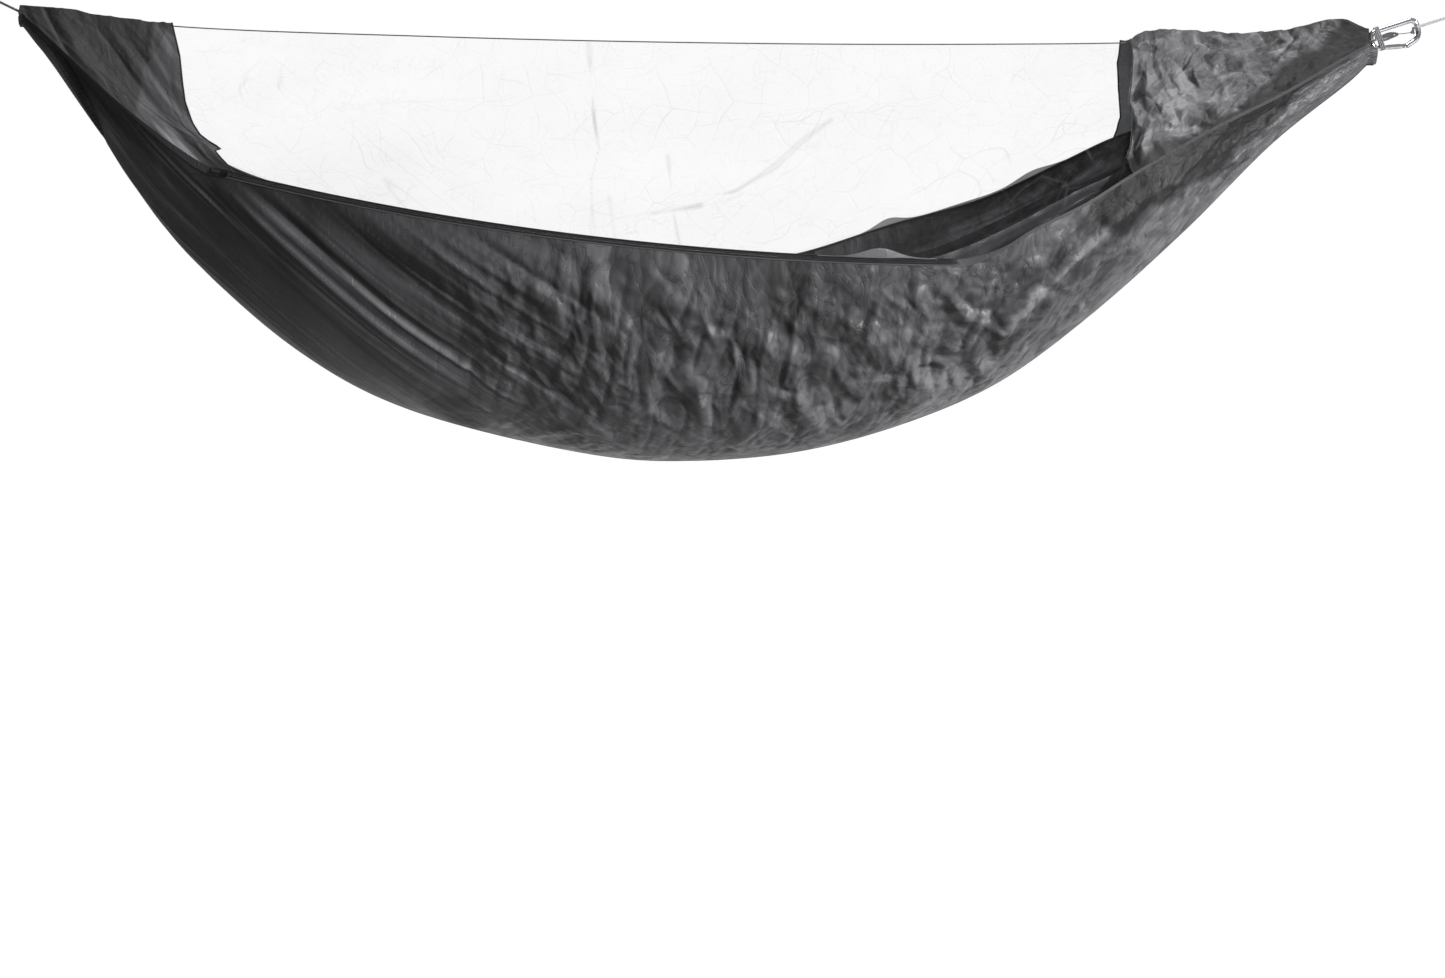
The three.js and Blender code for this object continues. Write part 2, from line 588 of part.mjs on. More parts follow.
function suspension() {
  const seatU = STRAP_SEAT[0] + BAR_R;
  const seatV = STRAP_SEAT[1];
  const half = BAR_R + GAP + SUSPENSION_R;
  const path = hairpin(seatU + SUSPENSION_LENGTH, seatU, SUSPENSION_R + 0.3, half, -1)
    .map((p) => vec(p.x, p.y, seatV));
  add('foot_suspension_cord', roundBar(path, SUSPENSION_R, 8, vec(0, 0, 1)), greyCord, footCarabinerPlace);
  const knotOutline = [[0, 0], [6, 0], [8.5, 5], [8.5, 15], [6, 20], [0, 20]];
  const knot = new THREE.LatheGeometry(knotOutline.map(([r, h]) => new THREE.Vector2(r, h)), 12)
    .rotateZ(-Math.PI / 2).translate(seatU + SUSPENSION_LENGTH + GAP, 0, seatV);
  add('foot_suspension_knot', toGeometry(toSolid(knot)), greyCord, footCarabinerPlace);
}

function ridgeline() {
  const ridge = byX(RIDGE);
  const path = stations(149, 2424, 40).map((x) => ridge(x));
  add('ridgeline', roundBar(path, RIDGE_R, 8, vec(0, 1, 0)), blackCord);
}

// ---- assembly -----------------------------------------------------------------------------

bedSheet();
sleeveLower();
hoodsAndNets();
rearHem();
zipRows();
zipSlider();
carabiners();
gatheredEnd('head', headCarabinerPlace, HEAD_BUNDLE_OFFSET);
gatheredEnd('foot', footCarabinerPlace, FOOT_BUNDLE_OFFSET);
suspension();
ridgeline();

export default part;
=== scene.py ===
import math

import bmesh
import bpy
import numpy as np
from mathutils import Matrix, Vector


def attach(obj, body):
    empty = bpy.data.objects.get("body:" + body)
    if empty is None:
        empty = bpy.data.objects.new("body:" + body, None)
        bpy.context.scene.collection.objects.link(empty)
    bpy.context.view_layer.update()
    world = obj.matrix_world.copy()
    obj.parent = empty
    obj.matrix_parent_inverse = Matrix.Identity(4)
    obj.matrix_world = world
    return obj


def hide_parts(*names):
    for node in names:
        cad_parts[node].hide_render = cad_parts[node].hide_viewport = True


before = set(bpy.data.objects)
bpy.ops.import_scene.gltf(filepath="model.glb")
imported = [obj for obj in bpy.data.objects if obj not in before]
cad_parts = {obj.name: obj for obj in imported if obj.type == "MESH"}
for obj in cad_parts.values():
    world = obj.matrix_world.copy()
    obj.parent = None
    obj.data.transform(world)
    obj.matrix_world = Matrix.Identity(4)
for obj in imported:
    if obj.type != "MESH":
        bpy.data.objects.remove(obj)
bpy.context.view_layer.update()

# ---- driving dimensions, in metres ---------------------------------------------------------
CAMERA_AT = (1.343, -6.0, -0.400)
CAMERA_AIM = (1.343, 0.0, -0.890)
CAMERA_LENS = 85.7
FLOOR_Z = -1.42
FILL_FROM = (0.62, -0.50, 0.60)     # where the studio's soft fill light is brightest
FILL_LOW = 0.02
FILL_HIGH = 0.50
LIGHT_AIM = Vector((1.3, 0, -0.45))
FLOOR_HALF = 14

HEAD_PULL = Vector((-0.9, 0, 0.4365)).normalized()
FOOT_PULL = Vector((0.954, 0, 0.2998)).normalized()
STRAP_SEAT = (0.078, -0.0013)
FOOT_CARABINER = Vector((2.4665, 0, -0.111))
BAR_R = 0.0045
LOOP_R = 0.002
LOOP_HALF_AT_BAR = 0.0084
LOOP_HALF_AT_BUNDLE = 0.004
LOOP_CREST = 0.0054
SUSPENSION_R = 0.0024
SUSPENSION_LENGTH = 0.104
RIDGE_R = 0.0011
BUNDLE_R = 0.006
BUNDLE_LENGTH = 0.020
HEAD_BUNDLE_OFFSET = 0.065
FOOT_BUNDLE_OFFSET = 0.020
NOSE = (0.056, -0.027)
HINGE = (0.013, -0.017)

ZIP_START = Vector((0.482, -0.164, -0.337))
ZIP_END = Vector((1.733, -0.269, -0.490))
ZIP_BULGE = 0.0916
ZIP_BULGE_WAY = Vector((0, -0.92, -0.39))
ZIP_TILT = math.radians(42)
COIL_R = 0.00042
COIL_TURNS = 800

AXIS_Z = -0.30                      # height of the hammock's long middle line
SLEEVE_X = (0.127, 2.474)           # where the sleeve starts and ends
HOOD_X = (0.127, 2.462)             # the outer ends of the two hoods
BED_X = (0.150, 2.424)
HEM_R = 0.0024
SEAM_R = 0.0014
STITCH_LENGTH = 0.0026
STITCH_GAP = 0.0011
THREAD_R = 0.00022
BRAID_RATE = 1540                   # strands of braid in each metre of cord, as an angle
WINDING_R = 0.00098
WINDING_TURNS = 6
LASHING_R = 0.0014
LASHING_TURNS = 3
SPRING_R = 0.0003
SPRING_TURNS = 10
BEVEL = 0.0003
CURVE_STEPS = 24                    # steps between two points of an edge

# the long edges of the cloth, as points through which each runs
RIDGE = ((0.149, 0, -0.059), (0.390, 0, -0.086), (0.842, 0, -0.104), (1.153, 0, -0.112),
         (1.528, 0, -0.117), (1.837, 0, -0.117), (2.033, 0, -0.115), (2.428, 0, -0.103))
HOOD_TOP = ((0.134, 0, -0.050), (0.210, 0, -0.056), (0.278, 0, -0.069), (0.390, 0, -0.080),
            (1.200, 0, -0.104), (2.033, 0, -0.110), (2.081, 0, -0.095), (2.264, 0, -0.097),
            (2.315, 0, -0.092), (2.415, 0, -0.074), (2.458, 0, -0.090))
BOTTOM = ((0.134, 0, -0.086), (0.147, 0, -0.104), (0.217, 0, -0.193), (0.329, 0, -0.367),
          (0.429, 0, -0.493), (0.604, 0, -0.647), (0.779, 0, -0.743), (1.129, 0, -0.830),
          (1.286, 0, -0.839), (1.479, 0, -0.822), (1.662, 0, -0.773), (1.822, 0, -0.703),
          (1.972, 0, -0.594), (2.144, 0, -0.440), (2.303, 0, -0.281), (2.434, 0, -0.176),
          (2.458, 0, -0.152))
FRONT_NEAR_HEAD = ((0.134, -0.015, -0.068), (0.220, -0.070, -0.140), (0.330, -0.118, -0.235))
FRONT_NEAR_FOOT = ((1.810, -0.261, -0.468), (1.860, -0.254, -0.438), (1.950, -0.234, -0.394),
                   (2.036, -0.206, -0.342), (2.170, -0.158, -0.268), (2.300, -0.105, -0.205),
                   (2.400, -0.055, -0.150), (2.458, -0.022, -0.120))
REAR = ((0.134, 0.015, -0.068), (0.220, 0.070, -0.140), (0.330, 0.122, -0.235),
        (0.483, 0.166, -0.335), (0.785, 0.252, -0.412), (1.139, 0.305, -0.470),
        (1.350, 0.308, -0.492), (1.462, 0.305, -0.488), (1.657, 0.286, -0.429),
        (1.817, 0.260, -0.383), (1.956, 0.229, -0.318), (2.046, 0.205, -0.275),
        (2.170, 0.158, -0.235), (2.300, 0.105, -0.190), (2.400, 0.055, -0.145),
        (2.458, 0.022, -0.120))
BED_EDGE = ((0.150, 0, -0.066), (0.190, 0, -0.112), (0.330, 0, -0.262), (0.520, 0, -0.385),
            (0.785, 0, -0.432), (1.139, 0, -0.482), (1.462, 0, -0.502), (1.700, 0, -0.480),
            (1.956, 0, -0.362), (2.065, 0, -0.312), (2.224, 0, -0.222), (2.330, 0, -0.152),
            (2.424, 0, -0.112))
BED_BOTTOM = ((0.150, 0, -0.082), (0.190, 0, -0.140), (0.330, 0, -0.340), (0.430, 0, -0.468),
              (0.604, 0, -0.626), (0.779, 0, -0.724), (1.129, 0, -0.814), (1.286, 0, -0.824),
              (1.479, 0, -0.806), (1.662, 0, -0.735), (1.740, 0, -0.652), (1.822, 0, -0.568),
              (1.911, 0, -0.490), (1.998, 0, -0.428), (2.065, 0, -0.402), (2.224, 0, -0.292),
              (2.330, 0, -0.206), (2.424, 0, -0.132))
BED_WIDTH = ((0.150, 0.009, 0), (0.330, 0.088, 0), (0.520, 0.150, 0), (0.785, 0.226, 0),
             (1.139, 0.276, 0), (1.462, 0.278, 0), (1.700, 0.240, 0), (1.956, 0.170, 0),
             (2.224, 0.060, 0), (2.330, 0.034, 0), (2.424, 0.009, 0))

# where each hood ends and its net begins, as (share of the way down from the ridge, x)
HOOD_EDGE = {
    "head_front": ((0, 0.390), (0.28, 0.409), (0.49, 0.418), (0.62, 0.425), (0.74, 0.440),
                   (0.80, 0.455), (0.845, 0.494), (0.866, 0.482), (0.89, 0.487), (0.93, 0.499),
                   (0.96, 0.509), (1, 0.518)),
    "head_rear": ((0, 0.385), (0.27, 0.356), (0.5, 0.328), (1, 0.272)),
    "foot_front": ((0, 2.049), (0.17, 2.051), (0.35, 2.043), (0.47, 2.036), (0.58, 2.041),
                   (0.8, 2.033), (0.88, 2.024), (1, 2.032)),
    "foot_rear": ((0, 2.032), (0.2, 2.031), (0.4, 2.038), (0.8, 2.052), (1, 2.045)),
}

# creases of the front net, as points (x, z) through which each runs
NET_CREASES = (
    ((1.111, -0.116), (1.125, -0.248), (1.134, -0.298), (1.123, -0.351), (1.129, -0.454)),
    ((1.153, -0.379), (1.167, -0.458)),
    ((1.251, -0.309), (1.260, -0.396), (1.272, -0.458)),
    ((1.293, -0.379), (1.363, -0.374), (1.435, -0.330), (1.472, -0.295), (1.528, -0.256)),
    ((1.228, -0.407), (1.307, -0.393)),
)
# the middle line of the gathered bed, along which a dark band is painted on the foot hood and sleeve as
# painted shade for the bed seen through them
BAND = ((2.010, -0.392), (2.040, -0.362), (2.145, -0.318), (2.224, -0.262), (2.278, -0.222),
        (2.331, -0.176), (2.382, -0.136), (2.456, -0.100))
# how far towards the foot the bed hangs behind the front skin, as (z, x)
BED_BEHIND = ((-0.760, 1.620), (-0.606, 1.746), (-0.552, 1.800), (-0.525, 1.841), (-0.480, 1.894),
              (-0.434, 1.931), (-0.407, 1.981), (-0.330, 2.070), (-0.200, 2.300))
# the two ends of the raised fold that runs down from the foot hood
FOOT_FOLD = ((2.037, -0.381), (1.930, -0.490), (1.816, -0.609))
# lines along which highlights are painted on the folds inside the foot end, as points (x, z)
INNER_FOLD_HIGHLIGHTS = (
    ((1.698, -0.480), (1.816, -0.434), (1.924, -0.387), (2.026, -0.319)),
    ((1.800, -0.469), (1.887, -0.416), (2.002, -0.360)),
    ((1.760, -0.440), (1.870, -0.395), (1.980, -0.330)),
)


# ---- camera, floor and light ---------------------------------------------------------------

def make_camera():
    data = bpy.data.cameras.new("camera")
    data.lens = CAMERA_LENS
    data.sensor_width = 36
    camera = bpy.data.objects.new("camera", data)
    bpy.context.collection.objects.link(camera)
    camera.location = CAMERA_AT
    away = Vector(CAMERA_AIM) - Vector(CAMERA_AT)
    camera.rotation_euler = away.to_track_quat("-Z", "Y").to_euler()
    bpy.context.scene.camera = camera


def make_light(name, at, size, power):
    data = bpy.data.lights.new(name, "AREA")
    data.shape = "RECTANGLE"
    data.size, data.size_y = size
    data.energy = power
    light = bpy.data.objects.new(name, data)
    bpy.context.collection.objects.link(light)
    light.location = at
    light.rotation_euler = (LIGHT_AIM - Vector(at)).to_track_quat("-Z", "Y").to_euler()


def make_studio():
    scene = bpy.context.scene
    scene.view_settings.view_transform = "Standard"
    scene.world = bpy.data.worlds.new("studio")
    n = Nodes(scene.world, "OutputWorld")
    # the fill is brightest from above on the foot side and dark from low on the head side
    place = n.add("TexCoord").outputs["Generated"]
    towards = n.add("VectorMath", {0: place, 1: FILL_FROM}, operation="DOT_PRODUCT").outputs["Value"]
    level = n.ramp(towards, -0.5, 1.0, FILL_LOW, FILL_HIGH, interpolation_type="SMOOTHSTEP")
    fill = n.shader("Background", {"Color": (0.98, 0.99, 1, 1), "Strength": level})
    seen = n.shader("Background", {"Color": (1, 1, 1, 1)})
    n.finish_with_view(fill, seen)

    mesh = bpy.data.meshes.new("floor")
    corners = [(x * FLOOR_HALF, y * FLOOR_HALF, 0) for x, y in ((-1, -1), (1, -1), (1, 1), (-1, 1))]
    mesh.from_pydata(corners, [], [(0, 1, 2, 3)])
    floor = bpy.data.objects.new("floor", mesh)
    floor.location = (CAMERA_AT[0], 0, FLOOR_Z)
    bpy.context.collection.objects.link(floor)
    floor.data.materials.append(floor_material())

    make_light("key", (5.0, -3.2, 1.3), (0.8, 0.8), 480)
    make_light("top", (1.8, -0.4, 2.6), (2.4, 0.8), 90)
    make_light("back", (-0.6, 4.4, 1.5), (2.0, 1.2), 170)


# ---- materials -----------------------------------------------------------------------------

class Nodes:
    """A short way to build the node tree of a material, or of the world."""

    def __init__(self, owner, output="OutputMaterial"):
        owner.use_nodes = True
        self.owner = owner
        self.tree = owner.node_tree
        self.tree.nodes.clear()
        self.out = self.tree.nodes.new("ShaderNode" + output)

    def add(self, kind, links=None, **values):
        node = self.tree.nodes.new("ShaderNode" + kind)
        for key, value in values.items():
            setattr(node, key, value)
        for socket, value in (links or {}).items():
            target = node.inputs[socket]
            if isinstance(value, bpy.types.NodeSocket):
                self.tree.links.new(value, target)
            else:
                target.default_value = value
        return node

    def shader(self, kind, links):
        return self.add(kind, links).outputs[0]

    def maths(self, operation, a, b=0.0):
        return self.add("Math", {0: a, 1: b}, operation=operation).outputs[0]

    def plus(self, a, b):
        return self.maths("ADD", a, b)

    def minus(self, a, b):
        return self.maths("SUBTRACT", a, b)

    def times(self, a, b):
        return self.maths("MULTIPLY", a, b)

    def ramp(self, value, low, high, to_low=0.0, to_high=1.0, **values):
        return self.add("MapRange", {"Value": value, "From Min": low, "From Max": high,
                                     "To Min": to_low, "To Max": to_high}, **values).outputs[0]

    def mix_colour(self, factor, a, b):
        return self.add("Mix", {0: factor, 6: a, 7: b}, data_type="RGBA").outputs[2]

    def attribute(self, name):
        return self.add("Attribute", attribute_name=name).outputs["Fac"]

    def uv(self):
        source = self.add("UVMap", uv_map="cloth").outputs[0]
        return self.add("Mapping", {"Vector": source}).outputs[0]

    def noise(self, vector, scale, detail=2.0, rough=0.5):
        return self.add("TexNoise", {"Vector": vector, "Scale": scale, "Detail": detail,
                                     "Roughness": rough}).outputs[0]

    def drifted(self, vector, scale, amount):
        """The same places moved a little by soft noise."""
        soft = self.add("TexNoise", {"Vector": vector, "Scale": scale, "Detail": 2.0}).outputs["Color"]
        shift = self.add("VectorMath", {0: soft, 1: (amount,) * 3}, operation="MULTIPLY").outputs[0]
        return self.add("VectorMath", {0: vector, 1: shift}, operation="ADD").outputs[0]

    def wave(self, vector, scale, direction):
        return self.add("TexWave", {"Vector": vector, "Scale": scale}, bands_direction=direction).outputs[0]

    def bump(self, height, strength, distance, normal=None):
        links = {"Height": height, "Strength": strength, "Distance": distance}
        if normal is not None:
            links["Normal"] = normal
        return self.add("Bump", links).outputs[0]

    def finish(self, shader):
        self.tree.links.new(shader, self.out.inputs["Surface"])
        return self.owner

    def finish_with_view(self, lit, seen):
        """Shows one shader to the camera and the other to the light."""
        camera_ray = self.add("LightPath").outputs["Is Camera Ray"]
        return self.finish(self.shader("MixShader", {0: camera_ray, 1: lit, 2: seen}))


def floor_material():
    """White, with a faint soft shadow close under the hammock only, partly painted into its glow and partly
    real.
    """
    n = Nodes(bpy.data.materials.new("floor"))
    place = n.add("TexCoord").outputs["Object"]
    away = n.add("VectorMath", {0: place}, operation="LENGTH").outputs["Value"]
    near = n.ramp(away, 0.8, 2.6, 1.0, 0.0)
    # painted shadow: the white glow seen by the camera is a little dimmer close under the hammock
    glow_with_painted_shadow = n.minus(1.0, n.times(near, 0.05))
    white = n.shader("Emission", {"Color": (1, 1, 1, 1), "Strength": glow_with_painted_shadow})
    faint = n.shader("BsdfDiffuse", {"Color": n.mix_colour(near, (0, 0, 0, 1), (0.05, 0.05, 0.05, 1))})
    dull = n.shader("BsdfDiffuse", {"Color": (0.6, 0.6, 0.6, 1)})
    return n.finish_with_view(dull, n.shader("AddShader", {0: white, 1: faint}))


def nylon_material(name, colour, see_through, roughness=0.42, sheen=0.04):
    """Thin woven nylon: a fine plain weave with a ripstop grid, crinkled, partly see-through."""
    n = Nodes(bpy.data.materials.new(name))
    cloth = n.uv()
    thin, shade, crumpled = (n.attribute(level) for level in ("thin", "shade", "crumpled"))
    weave = n.plus(n.wave(cloth, 520, "X"), n.wave(cloth, 520, "Y"))
    ripstop = n.maths("MAXIMUM", *(n.ramp(n.wave(cloth, 62, way), 0.94, 1.0) for way in "XY"))
    drift = n.drifted(cloth, 9.0, 0.10)
    slant = {"Vector": drift, "Rotation": (0, 0, 0.7), "Scale": (1.0, 0.5, 1.0)}
    large = n.add("TexVoronoi", {"Vector": n.add("Mapping", slant).outputs[0], "Scale": 24.0})
    small = n.add("TexVoronoi", {"Vector": drift, "Scale": 62.0})
    # painted light and shade: each small facet gets its own lighter or darker tone, as if it faced its own
    # way to the light
    painted_facet_light = 0.0
    for facets_seen, most in ((large, 0.30), (small, 0.22)):
        red = n.add("SeparateColor", {0: facets_seen.outputs["Color"]}).outputs[0]
        painted_facet_light = n.plus(painted_facet_light, n.ramp(red, 0, 1, -most, most))
    creases = n.ramp(n.maths("ABSOLUTE", n.minus(n.noise(drift, 17, 3.0, 0.6), 0.5)), 0.0, 0.012, 1.0, 0.0)
    normal = n.bump(large.outputs["Distance"], n.times(crumpled, 0.40), 0.016)
    normal = n.bump(small.outputs["Distance"], n.times(crumpled, 0.35), 0.0045, normal)
    normal = n.bump(creases, 0.35, 0.0016, normal)
    normal = n.bump(n.plus(weave, n.times(ripstop, 0.6)), 0.05, 0.0001, normal)
    tone = n.times(shade, n.plus(1.0, n.times(crumpled, painted_facet_light)))
    # painted shade: darker along the creases
    tone = n.times(tone, n.minus(1.0, n.times(creases, n.times(crumpled, 0.35))))
    full = tuple(c * 2 for c in colour) + (1,)
    base = n.mix_colour(n.times(tone, 0.5), (0.001, 0.001, 0.0012, 1), full)
    rough = n.ramp(shade, 0.0, 1.0, roughness + 0.25, roughness)
    skin = n.shader("BsdfPrincipled", {"Base Color": base, "Roughness": rough, "Normal": normal,
                                       "Specular IOR Level": 0.22, "Sheen Weight": sheen,
                                       "Sheen Roughness": 0.35, "Sheen Tint": (0.86, 0.9, 1, 1)})
    through = n.shader("BsdfTransparent", {"Color": (0.95, 0.97, 1, 1)})
    open_share = n.times(thin, n.ramp(n.noise(drift, 22, 4.0), 0.32, 0.68,
                                      see_through * 0.85, see_through * 1.15))
    cover = n.maths("MINIMUM", n.minus(1.0, open_share), 1.0)
    return n.finish(n.shader("MixShader", {0: cover, 1: through, 2: skin}))


def net_material():
    """Fine knitted insect net: mostly open, darker where it is creased."""
    n = Nodes(bpy.data.materials.new("insect_net"))
    cloth = n.uv()
    threads = n.maths("MAXIMUM", n.wave(cloth, 300, "X"), n.wave(cloth, 300, "DIAGONAL"))
    patch = n.ramp(n.noise(cloth, 5.0, 5.0, 0.62), 0.38, 0.72, 0.0, 0.035)
    bent = n.drifted(cloth, 5.0, 0.12)
    lines = 0.0
    for scale, width, weight in ((6.0, 0.010, 0.10), (13.0, 0.018, 0.08), (30.0, 0.035, 0.05)):
        cells = n.add("TexVoronoi", {"Vector": bent, "Scale": scale}, feature="DISTANCE_TO_EDGE")
        fold = n.times(n.ramp(cells.outputs["Distance"], 0.0, width, weight, 0.0),
                       n.ramp(n.noise(cloth, scale * 0.7 + 1.3), 0.45, 0.62))
        lines = n.plus(lines, fold)
    cover = n.plus(n.plus(patch, n.ramp(threads, 0.6, 1.0, 0.010, 0.034)),
                   n.plus(lines, n.times(n.attribute("crease"), 0.55)))
    strand = n.shader("BsdfPrincipled", {"Base Color": (0.10, 0.10, 0.105, 1), "Roughness": 0.7})
    through = n.shader("BsdfTransparent", {"Color": (1, 1, 1, 1)})
    return n.finish(n.shader("MixShader", {0: n.maths("MINIMUM", cover, 1.0), 1: through, 2: strand}))


def cord_material(name, colour, fleck):
    """Braided cord: crossing strands in relief, with a lighter or darker tracer."""
    n = Nodes(bpy.data.materials.new(name))
    cloth = n.uv()
    place = n.add("SeparateXYZ", {0: cloth})
    along, around = n.times(place.outputs[0], BRAID_RATE), n.times(place.outputs[1], 6 * math.pi)
    braided = n.times(*(n.maths("SINE", n.maths(way, along, around)) for way in ("ADD", "SUBTRACT")))
    normal = n.bump(braided, 0.7, 0.0005)
    tracer = n.ramp(n.noise(cloth, 420), 0.5, 0.62)
    base = n.mix_colour(tracer, colour + (1,), fleck + (1,))
    shade = n.mix_colour(n.ramp(braided, -0.8, 0.4), tuple(c * 0.55 for c in colour) + (1,), base)
    return n.finish(n.shader("BsdfPrincipled", {"Base Color": shade, "Roughness": 0.62,
                                                "Normal": normal, "Sheen Weight": 0.3}))


def steel_material():
    """Polished plated steel with faint draw marks and handling scuffs."""
    n = Nodes(bpy.data.materials.new("polished_steel"))
    place = n.add("TexCoord").outputs["Object"]
    scuffs = n.noise(place, 900, 4.0, 0.6)
    smears = n.noise(place, 60, 3.0)
    rough = n.plus(n.ramp(scuffs, 0.45, 0.75, 0.07, 0.15), n.ramp(smears, 0.4, 0.7, 0.0, 0.07))
    normal = n.bump(scuffs, 0.08, 0.0001)
    base = n.mix_colour(n.ramp(smears, 0.35, 0.7), (0.50, 0.51, 0.53, 1), (0.36, 0.37, 0.39, 1))
    return n.finish(n.shader("BsdfPrincipled", {"Base Color": base, "Metallic": 1.0,
                                                "Roughness": rough, "Normal": normal}))


def zip_material(name, colour, roughness, metallic=0.0):
    n = Nodes(bpy.data.materials.new(name))
    place = n.add("TexCoord").outputs["Object"]
    grain = n.noise(place, 1400, 3.0)
    normal = n.bump(grain, 0.12, 0.0001)
    worn = tuple(min(1, c * 2.2 + 0.01) for c in colour) + (1,)
    base = n.mix_colour(n.ramp(n.noise(place, 260, 3.0), 0.55, 0.8), colour + (1,), worn)
    rough = n.ramp(grain, 0.3, 0.7, roughness - 0.05, roughness + 0.08)
    return n.finish(n.shader("BsdfPrincipled", {"Base Color": base, "Metallic": metallic,
                                                "Roughness": rough, "Normal": normal}))


# ---- noise and curves ----------------------------------------------------------------------

def lattice(ix, iy, iz, seed):
    """A repeatable random number from -1 to 1 at each whole-number place."""
    h = (ix * 374761393 + iy * 668265263 + iz * 1274126177 + seed * 974634777) & 0xFFFFFFFF
    h = ((h ^ (h >> 13)) * 1103515245) & 0xFFFFFFFF
    h = ((h ^ (h >> 16)) * 2246822519) & 0xFFFFFFFF
    return ((h ^ (h >> 15)) & 0xFFFF) / 32767.5 - 1.0


def noise(x, y, z=0.0, seed=0):
    """Smooth value noise from about -1 to 1."""
    x, y, z = np.broadcast_arrays(np.asarray(x, float), np.asarray(y, float), np.asarray(z, float))
    fx, fy, fz = np.floor(x), np.floor(y), np.floor(z)
    ix, iy, iz = (f.astype(np.int64) for f in (fx, fy, fz))
    tx, ty, tz = ((v - f) for v, f in ((x, fx), (y, fy), (z, fz)))
    tx, ty, tz = (t * t * t * (t * (t * 6 - 15) + 10) for t in (tx, ty, tz))
    total = 0.0
    for dx in (0, 1):
        for dy in (0, 1):
            for dz in (0, 1):
                weight = (tx if dx else 1 - tx) * (ty if dy else 1 - ty) * (tz if dz else 1 - tz)
                total = total + weight * lattice(ix + dx, iy + dy, iz + dz, seed)
    return total


def ridged(x, y, z=0.0, seed=0, soft=0.08):
    """Noise with sharp creases, from 0 at a crease to about 1."""
    return np.sqrt(noise(x, y, z, seed) ** 2 + soft ** 2) * 1.4


def crumple(s, t, size, seed):
    """Creased facets of thin nylon, whose larger ones are about size metres across."""
    wx = s + 0.35 * size * noise(s / size * 0.8, t / size * 0.8, 3.1, seed + 1)
    wy = t + 0.35 * size * noise(s / size * 0.8, t / size * 0.8, 7.7, seed + 2)
    total = 0.0
    for octave, weight in enumerate((1.0, 0.55, 0.3, 0.16)):
        f = 2.03 ** octave / size
        turn = 0.6 + 1.1 * octave
        a = wx * math.cos(turn) - wy * math.sin(turn)
        b = wx * math.sin(turn) + wy * math.cos(turn)
        total = total + weight * (0.5 - ridged(a * f, b * f * 1.35, 0.0, seed + 5 * octave, 0.03))
    return total


def facets(s, t, size, seed):
    """Flat facets with straight sharp creases, about size metres across."""
    total = 0.0
    for k, (turn, rate) in enumerate(((0.3, 1.0), (1.5, 0.8), (2.5, 1.3), (0.9, 1.9), (2.0, 2.4))):
        bend = 0.8 * noise(s / size * 0.5, t / size * 0.5, 1.7 * k, seed + 3 * k)
        u = (s * math.cos(turn + seed) + t * math.sin(turn + seed)) * rate * 0.5 / size + bend
        total = total + (np.abs(2 * (u - np.floor(u)) - 1) - 0.5) / (1 + rate)
    return total


def shards(s, t, size, seed):
    """Small flat facets broken along straight creases by larger ones."""
    shift = 0.5 * size
    return facets(s + shift * facets(s, t, size * 1.7, seed + 11),
                  t + shift * facets(s, t, size * 1.7, seed + 17), size, seed)


def smoothstep(low, high, value):
    t = np.clip((value - low) / (high - low), 0, 1)
    return t * t * (3 - 2 * t)


def bell(value, centre, width):
    return np.exp(-((value - centre) / width) ** 2)


def wandered(s, t, seed):
    """The same places moved by up to three centimetres, so that folds wander."""
    return s + 0.03 * noise(s * 8, t * 8, 0, seed), t + 0.03 * noise(s * 8, t * 8, 0, seed + 1)


def by_x(points):
    """A smooth curve through points, read by its x as an array of points."""
    p = np.array(points, float)
    p = np.vstack([2 * p[0] - p[1], p, 2 * p[-1] - p[-2]])
    table = []
    for i in range(1, len(p) - 2):
        q = p[i - 1:i + 3]
        d = [max(np.linalg.norm(q[k + 1] - q[k]) ** 0.5, 1e-6) for k in range(3)]
        k1 = (q[2] - q[1]) + d[1] * ((q[1] - q[0]) / d[0] - (q[2] - q[0]) / (d[0] + d[1]))
        k2 = (q[2] - q[1]) + d[1] * ((q[3] - q[2]) / d[2] - (q[3] - q[1]) / (d[1] + d[2]))
        for k in range(CURVE_STEPS):
            t = k / CURVE_STEPS
            h = (2 * t ** 3 - 3 * t ** 2 + 1, t ** 3 - 2 * t ** 2 + t,
                 -2 * t ** 3 + 3 * t ** 2, t ** 3 - t ** 2)
            table.append(h[0] * q[1] + h[1] * k1 + h[2] * q[2] + h[3] * k2)
    table.append(p[-2])
    table = np.array(table)

    def read(x):
        x = np.asarray(x, float)
        return np.stack([x, np.interp(x, table[:, 0], table[:, 1]),
                         np.interp(x, table[:, 0], table[:, 2])], -1)
    return read


# ---- zip frame -----------------------------------------------------------------------------

zip_chord = ZIP_END - ZIP_START
zip_along = zip_chord.normalized()
zip_out = (ZIP_BULGE_WAY - ZIP_BULGE_WAY.dot(zip_along) * zip_along).normalized()
zip_axis = -zip_along.cross(zip_out)
zip_radius = zip_chord.length ** 2 / (8 * ZIP_BULGE) + ZIP_BULGE / 2
zip_centre = (ZIP_START + ZIP_END) / 2 + zip_out * (ZIP_BULGE - zip_radius)
zip_half = math.asin(zip_chord.length / 2 / zip_radius)


def zip_frame(angle):
    """The point and the along, up and outward directions of the zip at an angle from its middle."""
    radial = zip_along * math.sin(angle) + zip_out * math.cos(angle)
    along = zip_along * math.cos(angle) - zip_out * math.sin(angle)
    up = zip_axis * math.cos(ZIP_TILT) - radial * math.sin(ZIP_TILT)
    out = radial * math.cos(ZIP_TILT) + zip_axis * math.sin(ZIP_TILT)
    return zip_centre + radial * zip_radius, along, up, out


